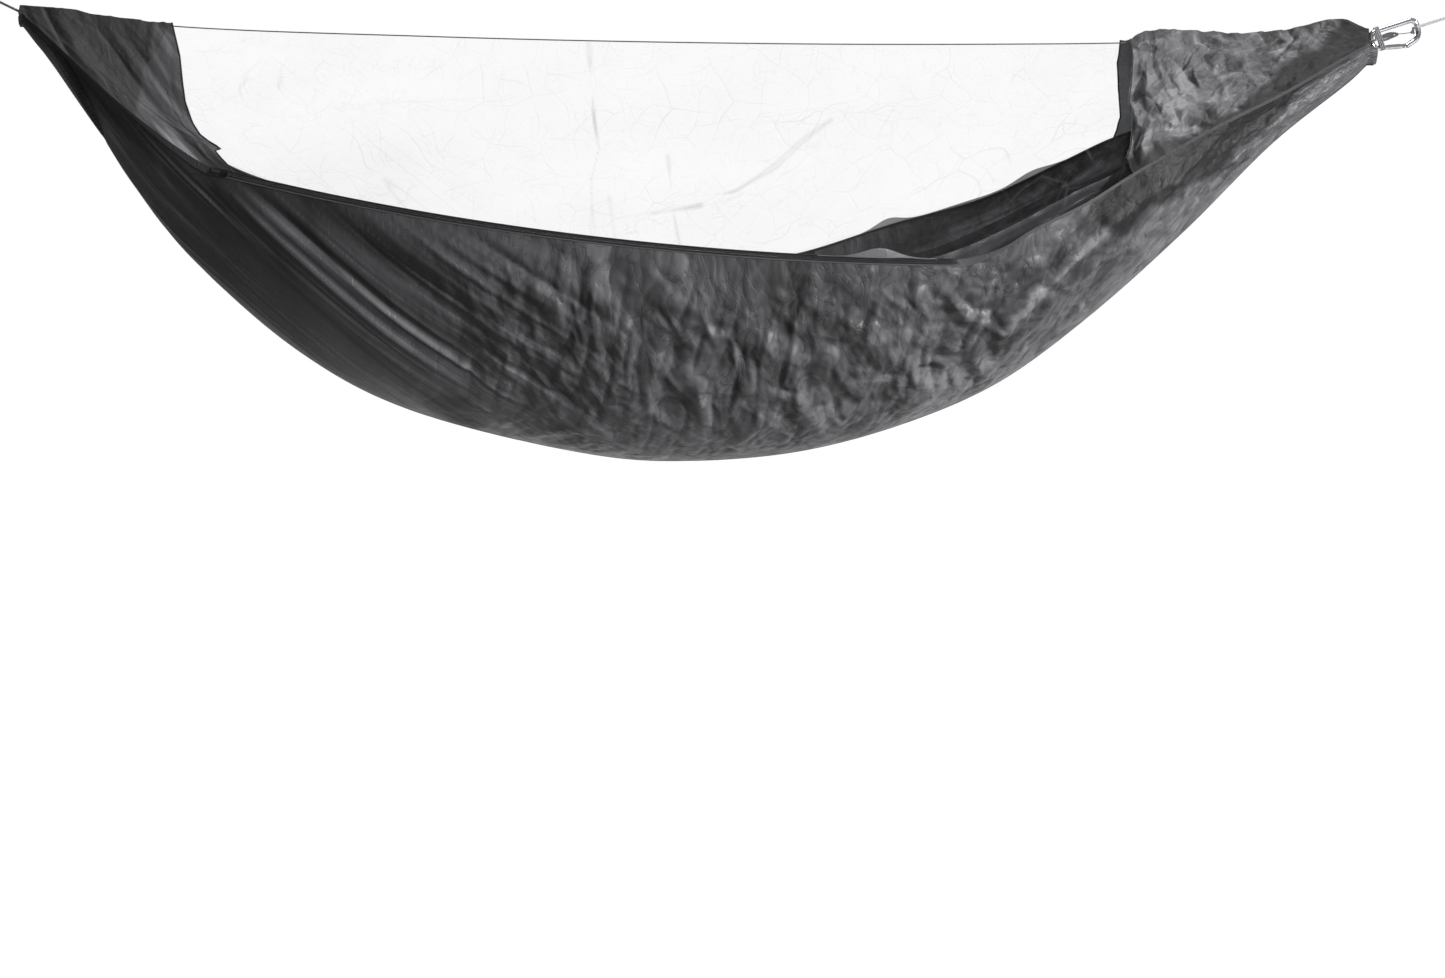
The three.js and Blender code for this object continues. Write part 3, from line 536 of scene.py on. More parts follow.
def front_edge(rise):
    """The front edge of the cloth a distance above the zip's middle line."""
    middle = []
    beyond = zip_half + 0.015 / zip_radius
    for k in range(31):
        point, _, up, _ = zip_frame(beyond * (k / 15 - 1))
        middle.append(tuple(point + up * rise))
    shift = 0.002 * (1 if rise > 0 else -1)
    ends = [[(x, y, z + shift) for x, y, z in part] for part in (FRONT_NEAR_HEAD, FRONT_NEAR_FOOT)]
    return by_x([*ends[0], *middle, *ends[1]])


front_high = front_edge(0.0045)
front_low = front_edge(-0.0045)
rear = by_x(REAR)
hood_top = by_x(HOOD_TOP)
ridge_line = by_x(RIDGE)
bottom = by_x(BOTTOM)
bed_edge = by_x(BED_EDGE)
bed_bottom = by_x(BED_BOTTOM)
bed_width = by_x(BED_WIDTH)


# ---- meshes --------------------------------------------------------------------------------

def add_piece(name, mesh, material, replaced, body="hammock"):
    obj = bpy.data.objects.new(name, mesh)
    bpy.context.collection.objects.link(obj)
    mesh.materials.append(material)
    for polygon in mesh.polygons:
        polygon.use_smooth = True
    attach(obj, body)
    if replaced:
        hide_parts(replaced)
    return obj


def flat_places(grid):
    """How far each point of a grid lies along its rows and its columns, in metres."""
    along = np.linalg.norm(np.diff(grid, axis=0), axis=2).mean(1)
    across = np.linalg.norm(np.diff(grid, axis=1), axis=2).mean(0)
    return np.meshgrid(np.concatenate([[0], np.cumsum(along)]),
                       np.concatenate([[0], np.cumsum(across)]), indexing="ij")


def normals(grid):
    a = np.gradient(grid, axis=0)
    b = np.gradient(grid, axis=1)
    n = np.cross(a, b)
    return n / np.maximum(np.linalg.norm(n, axis=2, keepdims=True), 1e-9)


def grid_mesh(name, grid, **levels):
    """A one-layer sheet on a grid, with its flat coordinates in metres as UVs.
    levels are thin, shade, crumpled and crease, which the materials read."""
    rows, columns = grid.shape[:2]
    index = np.arange(rows * columns).reshape(rows, columns)
    faces = np.stack([index[:-1, :-1], index[1:, :-1], index[1:, 1:], index[:-1, 1:]], -1).reshape(-1, 4)
    mesh = bpy.data.meshes.new(name)
    mesh.from_pydata(grid.reshape(-1, 3).tolist(), [], faces.tolist())
    flat = np.stack(flat_places(grid), -1).reshape(-1, 2)
    layer = mesh.uv_layers.new(name="cloth")
    loops = np.empty(len(mesh.loops), int)
    mesh.loops.foreach_get("vertex_index", loops)
    layer.data.foreach_set("uv", flat[loops].ravel())
    set_levels(mesh, **levels)
    return mesh


def set_levels(mesh, **levels):
    for name, value in {"thin": 1.0, "shade": 1.0, "crumpled": 0.0, **levels}.items():
        attribute = mesh.attributes.new(name, "FLOAT", "POINT")
        values = np.broadcast_to(np.asarray(value, float).ravel(), (len(mesh.vertices),))
        attribute.data.foreach_set("value", values.astype(np.float32))


def ring_mesh(name, rings, lengths=None, closed=False):
    """A tube through rings of points; lengths along it give it braid coordinates."""
    bm = bmesh.new()
    layer = bm.loops.layers.uv.new("cloth") if lengths else None
    verts = [[bm.verts.new(p) for p in ring] for ring in rings]
    count, sides = len(rings), len(rings[0])
    for i in range(count if closed else count - 1):
        j = (i + 1) % count
        for k in range(sides):
            m = (k + 1) % sides
            face = bm.faces.new((verts[i][k], verts[i][m], verts[j][m], verts[j][k]))
            if lengths:
                corners = ((i, k), (i, k + 1), (i + 1, k + 1), (i + 1, k))
                for loop, (ring, place) in zip(face.loops, corners):
                    loop[layer].uv = (lengths[ring], place / sides)
    if not closed:
        bm.faces.new(list(reversed(verts[0])))
        bm.faces.new(verts[-1])
    bmesh.ops.recalc_face_normals(bm, faces=bm.faces)
    mesh = bpy.data.meshes.new(name)
    bm.to_mesh(mesh)
    bm.free()
    return mesh


def tube(name, path, radius, material, body="hammock", sides=16, replaced=None, closed=False):
    """A round cord or bar along a path, with flat ends and braid coordinates."""
    path = [Vector(p) for p in path]
    count = len(path)
    lengths = [0.0]
    for i in range(count):
        lengths.append(lengths[-1] + (path[(i + 1) % count] - path[i]).length)
    tangents = []
    for i in range(count):
        before = path[i - 1] if i or closed else path[0]
        after = path[(i + 1) % count] if i < count - 1 or closed else path[-1]
        tangents.append((after - before).normalized())
    side = tangents[0].cross(Vector((0.13, 0.2, 0.97))).normalized()
    rings = []
    for point, tangent in zip(path, tangents):
        side = (side - side.dot(tangent) * tangent).normalized()
        up = tangent.cross(side)
        rings.append([point + (side * math.cos(a) + up * math.sin(a)) * radius
                      for a in (2 * math.pi * k / sides for k in range(sides))])
    mesh = ring_mesh(name, rings, lengths, closed)
    set_levels(mesh, thin=0.0, shade=0.4)
    return add_piece(name, mesh, material, replaced, body)


# ---- cloth shapes --------------------------------------------------------------------------

def hanging_grid(x, front, rear_points, bottom_z, columns):
    """A hanging sheet between a front and a rear edge, with its lowest line at bottom_z."""
    share = np.linspace(0, 1, columns)
    angle = np.pi * share
    first = (share < 0.5)[None, :, None]
    edge = np.where(first, front[:, None, :], rear_points[:, None, :])
    y = np.abs(np.cos(angle))[None, :] * edge[..., 1]
    drop = np.sin(angle)[None, :] ** 0.75
    z = edge[..., 2] * (1 - drop) + bottom_z[:, None] * drop
    return np.stack([np.repeat(x[:, None], columns, 1), y, z], -1)


def pull_lines(x, z):
    """A number that stays the same along the diagonal tension folds, seen from the front."""
    return z + 0.55 * x - 0.3325 * np.exp(-(x - 0.2) / 0.35)


def to_line(x, z, points):
    """The distance from each (x, z) to the nearest part of a line through points."""
    best = np.full(np.broadcast(x, z).shape, 9.0)
    for (ax, az), (bx, bz) in zip(points, points[1:]):
        dx, dz = bx - ax, bz - az
        t = np.clip(((x - ax) * dx + (z - az) * dz) / (dx * dx + dz * dz), 0, 1)
        best = np.minimum(best, np.hypot(x - ax - t * dx, z - az - t * dz))
    return best


def outward(grid):
    """Normals turned away from the hammock's long middle line."""
    n = normals(grid)
    away = np.stack([np.zeros_like(grid[..., 0]), grid[..., 1], grid[..., 2] - AXIS_Z], -1)
    return n * np.sign((n * away).sum(-1, keepdims=True))


def folds(across, along, seed, soft=0.05):
    """Long folds: their height, from about -1 to 0.5, and 1 along each sharp crest line."""
    value = noise(across, along, 0.0, seed)
    return 0.45 - np.sqrt(value ** 2 + soft ** 2) * 1.4, bell(value, 0, 0.09)


def relief(height, s, t, downward, strength):
    """Painted light and shade that deepen folds: above 1 where the cloth turns to the light, below 1 where
    it turns away.
    The light comes from the foot end and from above; downward is 1 where rows run down."""
    slope_along = np.gradient(height, s[:, 0], axis=0)
    slope_across = np.gradient(height, t[0], axis=1)
    lit = -0.8 * slope_along + 0.6 * downward * slope_across
    return np.clip(1 + strength * lit, 0.22, 2.6)


def sleeve_shape(grid, s, t, depth):
    """How far the sleeve's cloth stands out, and where its fold lines get painted shade, at each point."""
    x, z = grid[..., 0], grid[..., 2]
    q = pull_lines(x, z) + 0.016 * noise(s * 3.0, t * 3.0, 0.0, 11)
    left = 1 - smoothstep(0.80, 1.30, x)
    wide, _ = folds(q * 8.0, s, 21)
    sunk, sunk_line = folds(q * 17.0, s * 1.3, 22)
    fine, fine_line = folds(q * 40.0, s * 2.0, 23)
    hair, hair_line = folds(q * 78.0, s * 2.6, 25)
    h = left * (0.006 * wide - 0.0115 * sunk + 0.0058 * fine + 0.0022 * hair)
    line = left * (0.80 * sunk_line + 0.50 * fine_line + 0.30 * hair_line)
    right = smoothstep(0.70, 1.15, x)
    big = crumple(s, t, 0.105, 41)
    wx, wy = wandered(s, t, 48)
    dent, dent_line = folds(wx * 11, wy * 8, 45)
    nick, nick_line = folds(wx * 36 + wy * 14, wy * 20, 46)
    h = h + right * (0.004 * big + 0.009 * shards(s, t, 0.085, 44) - 0.003 * dent - 0.003 * nick
                     + 0.0048 * shards(s, t, 0.034, 47))
    line = line + right * (0.25 * dent_line + 0.50 * nick_line)
    # folds run up to the foot's gathered end
    up = z - 1.05 * (x - 2.0) + 0.014 * noise(s * 4, t * 4, 0.0, 31)
    foot = smoothstep(1.72, 1.95, x)
    rise, _ = folds(up * 12.0, s * 2.0, 32)
    small, small_line = folds(up * 29.0, s * 3.0, 33)
    h = h * (1 - 0.5 * foot) + foot * (0.009 * rise - 0.0036 * small)
    raised = to_line(x, z, FOOT_FOLD) + 0.004 * noise(s * 20, t * 20, 0, 97)
    h = h + 0.010 * bell(raised, 0, 0.012) * (grid[..., 1] < 0)
    line = line * (1 - 0.4 * foot) + foot * 0.5 * small_line
    h = h + 0.010 * smoothstep(0.3, 0.6, x) * noise(s * 3.1, t * 4.0, 0.0, 61)
    # behind the opening the cloth is drawn into folds along its length
    inner = smoothstep(1.45, 1.75, x) * (grid[..., 1] > 0)
    drawn, drawn_line = folds(depth * 26.0, s * 1.2, 34)
    h = h * (1 - 0.6 * inner) - 0.010 * inner * drawn
    line = line * (1 - 0.7 * inner) + 0.5 * inner * drawn_line
    fixed = np.clip(depth / 0.10, 0, 1) ** 0.8
    calm = smoothstep(0.13, 0.24, x) * (1 - 0.75 * smoothstep(2.30, 2.47, x))
    # near its lowest line the cloth may fold inward but hardly outward
    out = smoothstep(0.06, 0.60, 1 - depth)
    inward = 0.03 + 0.97 * smoothstep(0.02, 0.30, 1 - depth)
    return h * fixed * calm * np.where(h > 0, out, inward), np.clip(line, 0, 1)


def crease_lines(s, t, seed):
    """1 along each of many short sharp creases, which run a few different ways."""
    total = 0.0
    for k, (turn, rate) in enumerate(((0.5, 16), (1.9, 21), (2.7, 30), (1.2, 38))):
        a = s * math.cos(turn) + t * math.sin(turn)
        b = t * math.cos(turn) - s * math.sin(turn)
        bend = 0.008 * noise(s * 11, t * 11, 0, seed + k)
        value = np.abs(noise((a + bend) * rate, b * rate * 0.33, 0, seed + 10 + k))
        here = smoothstep(-0.1, 0.5, noise(s * 8, t * 8, 0, seed + 20 + k))
        total = total + bell(value, 0, 0.06) * here
    return np.clip(total, 0, 1)


def band_shade(x, z):
    """Painted shade for the gathered bed seen through the skin: 1 away from its band, lower on it."""
    width = 0.030 + 0.022 * smoothstep(2.30, 2.05, x)
    edge = to_line(x, z, BAND) + 0.010 * noise(x * 24, z * 24, 0.0, 91)
    return 1 - 0.86 * (1 - smoothstep(width * 0.6, width * 1.15, edge))


def sleeve_shade(grid, s, t, height, line, inside):
    """How light the sleeve's cloth is at each point, with its painted light and shade, and how far it can
    be seen through.
    """
    x, z = grid[..., 0], grid[..., 2]
    left = 1 - smoothstep(0.85, 1.35, x)
    # painted shade: darker towards the head end, where the cloth turns away from the light
    shade = 0.20 + 0.58 * smoothstep(0.25, 1.00, x + 0.22 * noise(s * 3, t * 3, 0, 92))
    shade = shade * (1 - 0.45 * bell(x, 1.40, 0.26) * bell(z, -0.60, 0.13))
    # painted shade along the fold lines, and tone that differs at random
    shade = shade * (1 - 0.70 * line) * (1 + 0.12 * noise(s * 14, t * 14, 0, 94))
    q = pull_lines(x, z) + 0.012 * noise(s * 3, t * 3, 0, 99)
    # painted highlights along thin fold crests towards the head end
    for rate, weight, seed in ((13, 0.30, 101), (29, 0.50, 102), (58, 0.50, 103)):
        shade = shade * (1 + weight * left * bell(noise(q * rate, s * 1.2, 0, seed), 0, 0.055))
    # painted highlights along short creases towards the foot end
    shade = shade * (1 + 0.55 * (1 - left) * crease_lines(s, t, 111))
    # the bed's dark bulk ends in a slanting line; the skin beyond it is more see-through, and is also
    # painted lighter for the light coming through
    edge = np.interp(z, *zip(*BED_BEHIND)) + 0.012 * noise(s * 16, t * 16, 0, 96)
    alone = smoothstep(0.0, 0.035, x - edge) * ~inside
    shade = shade * (1 + 0.40 * alone)
    # a painted highlight along the raised fold down from the foot hood, with painted shade just beside it
    ridge = to_line(x, z, FOOT_FOLD) + 0.004 * noise(s * 20, t * 20, 0, 97)
    shade = shade * (1 - 0.5 * bell(ridge, 0.022, 0.012)) + 1.6 * bell(ridge, 0, 0.0055) * ~inside
    # painted shade of the gathered bed seen through the skin
    shade = np.where(inside, shade, shade * band_shade(x, z))
    # inside, painted shade over all and painted highlights along its folds
    inner = np.min([to_line(x, z, points) for points in INNER_FOLD_HIGHLIGHTS], 0)
    shade = np.where(inside, 0.6 * shade + 2.0 * bell(inner, 0, 0.005), shade)
    # painted light and shade from the slopes of the folds
    shade = shade * relief(height, s, t, np.where(inside, -1, 1), 1.5 + 0.5 * left)
    return np.clip(shade, 0.04, 2.2), 0.25 * alone * (1 - line)


def sleeve_lower(material):
    x = np.linspace(*SLEEVE_X, 760)
    columns = 281
    grid = hanging_grid(x, front_low(x), rear(x), bottom(x)[:, 2], columns)
    s, t = flat_places(grid)
    depth = np.repeat(1 - np.abs(2 * np.linspace(0, 1, columns)[None, :] - 1), len(x), 0)
    height, line = sleeve_shape(grid, s, t, depth)
    grid = grid + outward(grid) * height[..., None]
    inside = np.linspace(0, 1, columns)[None, :] > 0.5
    shade, thin = sleeve_shade(grid, s, t, height, line, inside)
    reach = grid[..., 0] + 0.1 * noise(s * 4, t * 4, 0, 104)
    crumpled = 0.15 + 0.85 * smoothstep(0.75, 1.25, reach)
    mesh = grid_mesh("outer_sleeve", grid, shade=shade, thin=thin, crumpled=crumpled)
    obj = add_piece("outer_sleeve", mesh, material, "sleeve_lower")
    return obj, grid


def bed_sheet(material):
    x = np.linspace(*BED_X, 420)
    half = bed_width(x)[:, 1]
    edge_z = bed_edge(x)[:, 2]
    columns = 181
    front = np.stack([x, -half, edge_z], -1)
    back = np.stack([x, half, edge_z], -1)
    grid = hanging_grid(x, front, back, bed_bottom(x)[:, 2], columns)
    s, t = flat_places(grid)
    share = np.linspace(0, 1, columns)[None, :] + 0.006 * noise(s * 5, t * 5, 0, 70)
    # pleats run out of both gathers
    near_end = (1 - smoothstep(0.15, 0.85, x) + smoothstep(1.30, 1.9, x))[:, None]
    h = 0.010 * near_end * (0.45 - ridged(share * 17.0, s * 0.7, 0.0, 71, 0.10))
    h = h + 0.005 * near_end * (0.45 - ridged(share * 41.0, s * 1.2, 0.0, 72, 0.10))
    h = h + 0.005 * crumple(s, t, 0.13, 75)
    width = np.clip(half / 0.07, 0.12, 1)[:, None]
    grid = grid + normals(grid) * (h * width)[..., None]
    mesh = grid_mesh("bed", grid, thin=0.4, shade=0.9)
    obj = add_piece("bed", mesh, material, "bed_sheet")


def share_reader(pairs):
    shares, xs = zip(*pairs)
    return lambda share: np.interp(share, shares, xs)


def panel_grid(top, edge, start, end, rows, columns):
    """A panel from the ridge down to a side edge; start and end give its x at each share."""
    share = np.linspace(0, 1, columns)
    t = np.linspace(0, 1, rows)[:, None]
    x = start(share)[None, :] * (1 - t) + end(share)[None, :] * t
    return top(x) * (1 - share[None, :, None]) + edge(x) * share[None, :, None], share


def net_panel(word, side, edge, material, seed):
    start = share_reader(HOOD_EDGE[f"head_{word}"])
    end = share_reader(HOOD_EDGE[f"foot_{word}"])
    grid, share = panel_grid(lambda x: ridge_line(x) + np.array([0, side * RIDGE_R, -0.001]), edge,
                             lambda v: start(v) - 0.004, lambda v: end(v) + 0.004, 520, 150)
    s, t = flat_places(grid)
    x, z = grid[..., 0], grid[..., 2]
    hold = np.clip(share / 0.06, 0, 1) * np.clip((1 - share) / 0.06, 0, 1)
    wide = 0.010 * noise(s * 2.6, t * 3.3, 0.0, seed)
    long_folds = 0.008 * (0.4 - ridged(s * 3.0 + 0.8 * t, t * 0.9, 0.0, seed + 1, 0.05))
    fine = 0.003 * crumple(s, t, 0.12, seed + 2)
    grid = grid + normals(grid) * ((wide + long_folds + fine) * hold[None, :])[..., None]
    crease = np.zeros_like(x)
    if word == "front":
        for k, line in enumerate(NET_CREASES):
            wobble = 0.004 * noise(x * 16, z * 16, 0.0, seed + 20 + k)
            near = bell(to_line(x, z, line) + wobble, 0, 0.0026)
            crease = crease + near * (0.50 + 0.45 * noise(x * 9, z * 9, 0.0, seed + 30 + k))
        # the net lies in faint diagonal pleats near the head end's lower corner
        pleat = 1 - smoothstep(0.0, 0.05, np.abs(noise(pull_lines(x, z) * 34, s * 1.5, 0.0, 95)))
        low = smoothstep(-0.22, -0.36, z) * (1 - smoothstep(0.75, 1.05, x))
        crease = crease + 0.20 * pleat * low + 0.09 * low
        crease = crease + 0.03 * smoothstep(-0.33, -0.45, z)
    mesh = grid_mesh(f"net_panel_{word}", grid, crease=np.clip(crease, 0, 1.2))
    obj = add_piece(f"net_panel_{word}", mesh, material, f"net_{word}")


def hood_shape(s, t, seed):
    """How far a hood's crumpled cloth stands out, and where its fold lines get painted shade."""
    wx, wy = wandered(s, t, seed)
    dent, dent_line = folds(wx * 12 + wy * 7, wy * 6, seed + 2)
    nick, nick_line = folds(wx * 34 - wy * 18, wy * 15, seed + 3)
    h = 0.004 * crumple(s, t, 0.12, seed + 4) + 0.012 * shards(s, t, 0.11, seed + 5)
    h = h - 0.005 * dent - 0.0025 * nick + 0.0050 * shards(s, t, 0.036, seed + 6)
    h = h + 0.008 * noise(s * 5, t * 5, 0.0, seed + 7)
    return h, np.clip(0.35 * dent_line + 0.5 * nick_line, 0, 1)


def hood_panel(end_word, word, edge, material, seed):
    edge_x = share_reader(HOOD_EDGE[f"{end_word}_{word}"])
    if end_word == "head":
        start, end, rows = (lambda v: HOOD_X[0] + 0 * v), edge_x, 220
    else:
        start, end, rows = edge_x, (lambda v: HOOD_X[1] + 0 * v), 260
    grid, share = panel_grid(hood_top, edge, start, end, rows, 170)
    s, t = flat_places(grid)
    x, z = grid[..., 0], grid[..., 2]
    hold = np.clip(share / 0.10, 0.0, 1)[None, :] * np.clip((1 - share) / 0.10, 0, 1)[None, :]
    depth = np.abs(z - hood_top(x)[..., 2])
    room = np.clip(np.abs(edge(x)[..., 1]) / 0.16, 0.12, 1)
    h, line = hood_shape(s, t, seed)
    shade = 0.68 + 0.12 * noise(s * 9, t * 9, 0.0, seed + 8)
    thin = 1.0 + 0.30 * noise(s * 7, t * 7, 0.0, seed + 9)
    if end_word == "head":
        q = pull_lines(x, z)
        pulled, line = folds(q * 17, s * 1.5, seed + 10)
        fine, _ = folds(q * 40, s * 2.5, seed + 11)
        h = 0.30 * h - 0.0070 * pulled + 0.0030 * fine
        # painted shade: the hood is darker at the head end, like the sleeve; a strip along its edge is more
        # see-through and also painted lighter for the light coming through
        strip = smoothstep(0.0, 0.012, x - 0.355 - 0.10 * (z + 0.08))
        shade = shade * (0.28 + 0.34 * strip)
        thin = thin * 0.25 * strip
        if word == "front":
            # wrinkled single cloth at the foot of the hood's edge: painted highlight streaks, where it is
            # also more see-through
            lit = bell(to_line(x, z, ((0.385, -0.275), (0.470, -0.338))), 0, 0.022)
            streak = smoothstep(0.05, 0.45, noise(q * 60, s * 6, 0.0, 96))
            thin = thin + 0.6 * lit * streak
            shade = shade + 1.8 * lit * streak
    else:
        if word == "front":
            # painted shade of the gathered bed seen through the skin
            shade = shade * band_shade(x, z)
        from_edge = x - edge_x(share)[None, :]
        thin = thin * 0.30 * (1 - smoothstep(0.02, 0.06, from_edge)) + 0.12
        shade = shade * (1.25 - 0.45 * smoothstep(2.30, 2.46, x)) * (1 - 0.35 * np.exp(-depth / 0.014))
    # painted shade along the fold lines
    shade = shade * (1 - 0.6 * line)
    # painted light and shade from the slopes of the folds
    shade = shade * relief(h, s, t, 1, 1.5)
    crumpled = 0.35
    if end_word == "foot":
        # painted highlights along short creases
        shade = shade * (1 + 0.6 * crease_lines(s, t, seed + 12))
        crumpled = 0.9
    grid = grid + outward(grid) * (h * hold * room)[..., None]
    # the top edge is slightly ruffled where it hangs on the ridgeline
    ruffle = 0.0022 * noise(x * 45, 0.0, 0.0, 97) + 0.0014 * noise(x * 120, 0.0, 0.0, 98)
    grid[..., 2] += np.exp(-depth / 0.02) * ruffle * room
    mesh = grid_mesh(f"hood_{end_word}_{word}", grid, shade=np.clip(shade, 0.04, 2.4),
                     thin=np.clip(thin, 0, 1), crumpled=crumpled)
    obj = add_piece(f"hood_{end_word}_{word}", mesh, material, f"{end_word}_hood_{word}")
    binding = tube(f"binding_{end_word}_{word}", grid[0 if end_word == "foot" else -1][::3],
                   SEAM_R, hem, sides=8)


def panels(nylon, net):
    for word, side, edge in (("front", -1, front_high), ("rear", 1, rear)):
        hood_panel("head", word, edge, nylon, 100 + side * 20)
        net_panel(word, side, edge, net, 200 + side * 20)
        hood_panel("foot", word, edge, nylon, 300 + side * 20)


# ---- hems, rims and stitching --------------------------------------------------------------

def rim(name, edge, start, end, height, material):
    """A strip of single sheer cloth that stands up above an edge."""
    x = np.linspace(start, end, 160)
    share = np.linspace(0, 1, 10)
    grid = np.repeat(edge(x)[:, None, :], len(share), 1)
    grid[..., 2] += height(x)[:, None] * share[None, :]
    grid[..., 1] += 0.003 * noise(x * 22, 0.0, 0.0, 81)[:, None] * share[None, :]
    return add_piece(name, grid_mesh(name, grid, thin=1.1, shade=1.4), material, None)


def stitch_row(name, points):
    """A row of lock stitches along a line of points, as one mesh of small grains of thread."""
    points = np.asarray(points, float)
    steps = np.linalg.norm(np.diff(points, axis=0), axis=1)
    total = np.concatenate([[0], np.cumsum(steps)])
    starts = np.arange(0, total[-1] - STITCH_LENGTH, STITCH_LENGTH + STITCH_GAP)
    a, b = (np.stack([np.interp(d, total, points[:, k]) for k in range(3)], -1)
            for d in (starts, starts + STITCH_LENGTH))
    verts = np.stack([a, b] + [(a + b) / 2 + np.array(v) * THREAD_R for v in
                               ((0, 1, 0.4), (0, -0.4, 1), (0, -1, -0.4), (0, 0.4, -1))], 1)
    faces = [(0, 2, 3), (0, 3, 4), (0, 4, 5), (0, 5, 2), (1, 3, 2), (1, 4, 3), (1, 5, 4), (1, 2, 5)]
    every = [[f + 6 * k for f in face] for k in range(len(starts)) for face in faces]
    mesh = bpy.data.meshes.new(name)
    mesh.from_pydata(verts.reshape(-1, 3).tolist(), [], every)
    set_levels(mesh, thin=0.0, shade=0.8)
    return add_piece(name, mesh, thread, None)


def front_shade(x):
    """How light the cloth is along its front edge: painted shade, darker towards the head end and near the
    foot, like the cloth beside it.
    """
    return 0.16 + 0.35 * smoothstep(0.25, 1.00, x) * (1 - 0.6 * smoothstep(1.95, 2.10, x))


def edge_cords(cord, nylon, lowest):
    """The ridgeline, and the hem, seams, stitches and rims that are sewn on the sleeve."""
    hem_line = rear(np.linspace(0.128, 2.47, 420))
    pieces = [tube("rear_hem_roll", hem_line, HEM_R, hem, sides=10, replaced="rear_hem"),
              tube("bottom_seam", lowest - np.array([0, 0, 0.0004]), SEAM_R, hem, sides=8)]
    # beyond the zip's ends a flat seam joins the hood's side and the sleeve
    for name, start, end in (("front_seam_head", 0.128, 0.490), ("front_seam_foot", 1.726, 2.462)):
        x = np.linspace(start, end, 180)
        share = np.linspace(-0.25, 1.25, 5)[None, :, None]
        grid = front_high(x)[:, None, :] * (1 - share) + front_low(x)[:, None, :] * share
        grid[..., 1] -= 0.0006
        mesh = grid_mesh(name, grid, thin=0.0, shade=np.repeat(front_shade(x)[:, None], 5, 1))
        pieces.append(add_piece(name, mesh, nylon, None))
    x = np.linspace(0.149, 2.424, 160)
    tube("ridgeline_cord", ridge_line(x), RIDGE_R, cord, sides=12, replaced="ridgeline")
    stitched = rear(np.linspace(0.20, 2.42, 500))
    for word, rise in (("upper", 0.005), ("lower", -0.005)):
        pieces.append(stitch_row(f"stitches_rear_{word}", stitched + np.array([0, 0.0012, rise])))
    pieces.append(rim("front_rim", front_high, 1.50, 1.70,
                      lambda x: 0.002 + 0.015 * bell(x, 1.605, 0.038), rim_nylon))
    pieces.append(rim("rear_rim", rear, 1.57, 2.00,
                      lambda x: 0.002 + 0.012 * bell(x, 1.645, 0.03) + 0.010 * bell(x, 1.90, 0.038)
                      + 0.004 * bell(x, 1.79, 0.06), rim_nylon))
    return pieces


# ---- zip -----------------------------------------------------------------------------------

def zip_line(rise, out, count=400):
    """Points along the zip, a distance above its middle line and outward from it."""
    points = []
    for k in range(count):
        point, _, up, outward_way = zip_frame(zip_half * (2 * k / (count - 1) - 1))
        points.append(point + up * rise + outward_way * out)
    return points


def zip_pieces():
    """The two coils, each sewn on the inner edge of its tape, which reaches in behind it."""
    pieces = []
    steps = COIL_TURNS * 7
    # the upper tape is painted darker and the lower one lighter, as painted shade and painted light; both
    # are the same tape
    for word, side, shade in (("upper", 1, 0.3), ("lower", -1, 1.4)):
        path = []
        for k in range(steps):
            turn = 2 * math.pi * k / 7
            point, _, up, out = zip_frame(zip_half * (2 * k / steps - 1))
            rise = side * (0.0016 + 0.0017 * math.cos(turn))
            path.append(point + up * rise + out * 0.0009 * math.sin(turn))
        tube(f"coil_{word}", path, COIL_R, zip_coil, sides=4, replaced=f"zipper_coil_{word}")
        grid = np.array([zip_line(side * rise, out) for rise, out in (
            (0.0001, -0.0012), (0.0030, -0.0010), (0.0045, 0.0002), (0.0066, 0.0002))])
        mesh = grid_mesh(f"tape_{word}", grid.transpose(1, 0, 2), thin=0.0, shade=shade)
        pieces.append(add_piece(f"tape_{word}", mesh, zip_tape, f"zipper_tape_{word}"))
        pieces.append(stitch_row(f"stitches_tape_{word}", zip_line(side * 0.0058, 0.0006, 300)))
    return pieces


# ---- hard pieces copied from the CAD -------------------------------------------------------

def refined(node, name, material, body):
    """A smooth, bevelled copy of a CAD piece."""
    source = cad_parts[node]
    bm = bmesh.new()
    bm.from_mesh(source.data)
    bm.transform(source.matrix_world)
    bmesh.ops.remove_doubles(bm, verts=bm.verts, dist=1e-6)
    bmesh.ops.dissolve_limit(bm, angle_limit=math.radians(1.5), verts=bm.verts, edges=bm.edges)
    for edge in bm.edges:
        edge.smooth = len(edge.link_faces) == 2 and edge.calc_face_angle(0) < math.radians(32)
    mesh = bpy.data.meshes.new(name)
    bm.to_mesh(mesh)
    bm.free()
    modifier = add_piece(name, mesh, material, node, body).modifiers.new("bevel", "BEVEL")
    modifier.width = BEVEL
    modifier.segments = 2
    modifier.limit_method = "ANGLE"
    modifier.angle_limit = math.radians(40)
    modifier.harden_normals = True


def in_carabiner(end, u, v, y=0.0):
    """A point of a carabiner's own plane, in the row frame."""
    pull = HEAD_PULL if end == "head" else FOOT_PULL
    spine = Vector((-pull.z, 0, pull.x)) * (1 if pull.x > 0 else -1)
    start = FOOT_CARABINER if end == "foot" else -pull * STRAP_SEAT[0] - spine * STRAP_SEAT[1]
    side = spine.cross(pull)
    return start + pull * u + spine * v + side * y


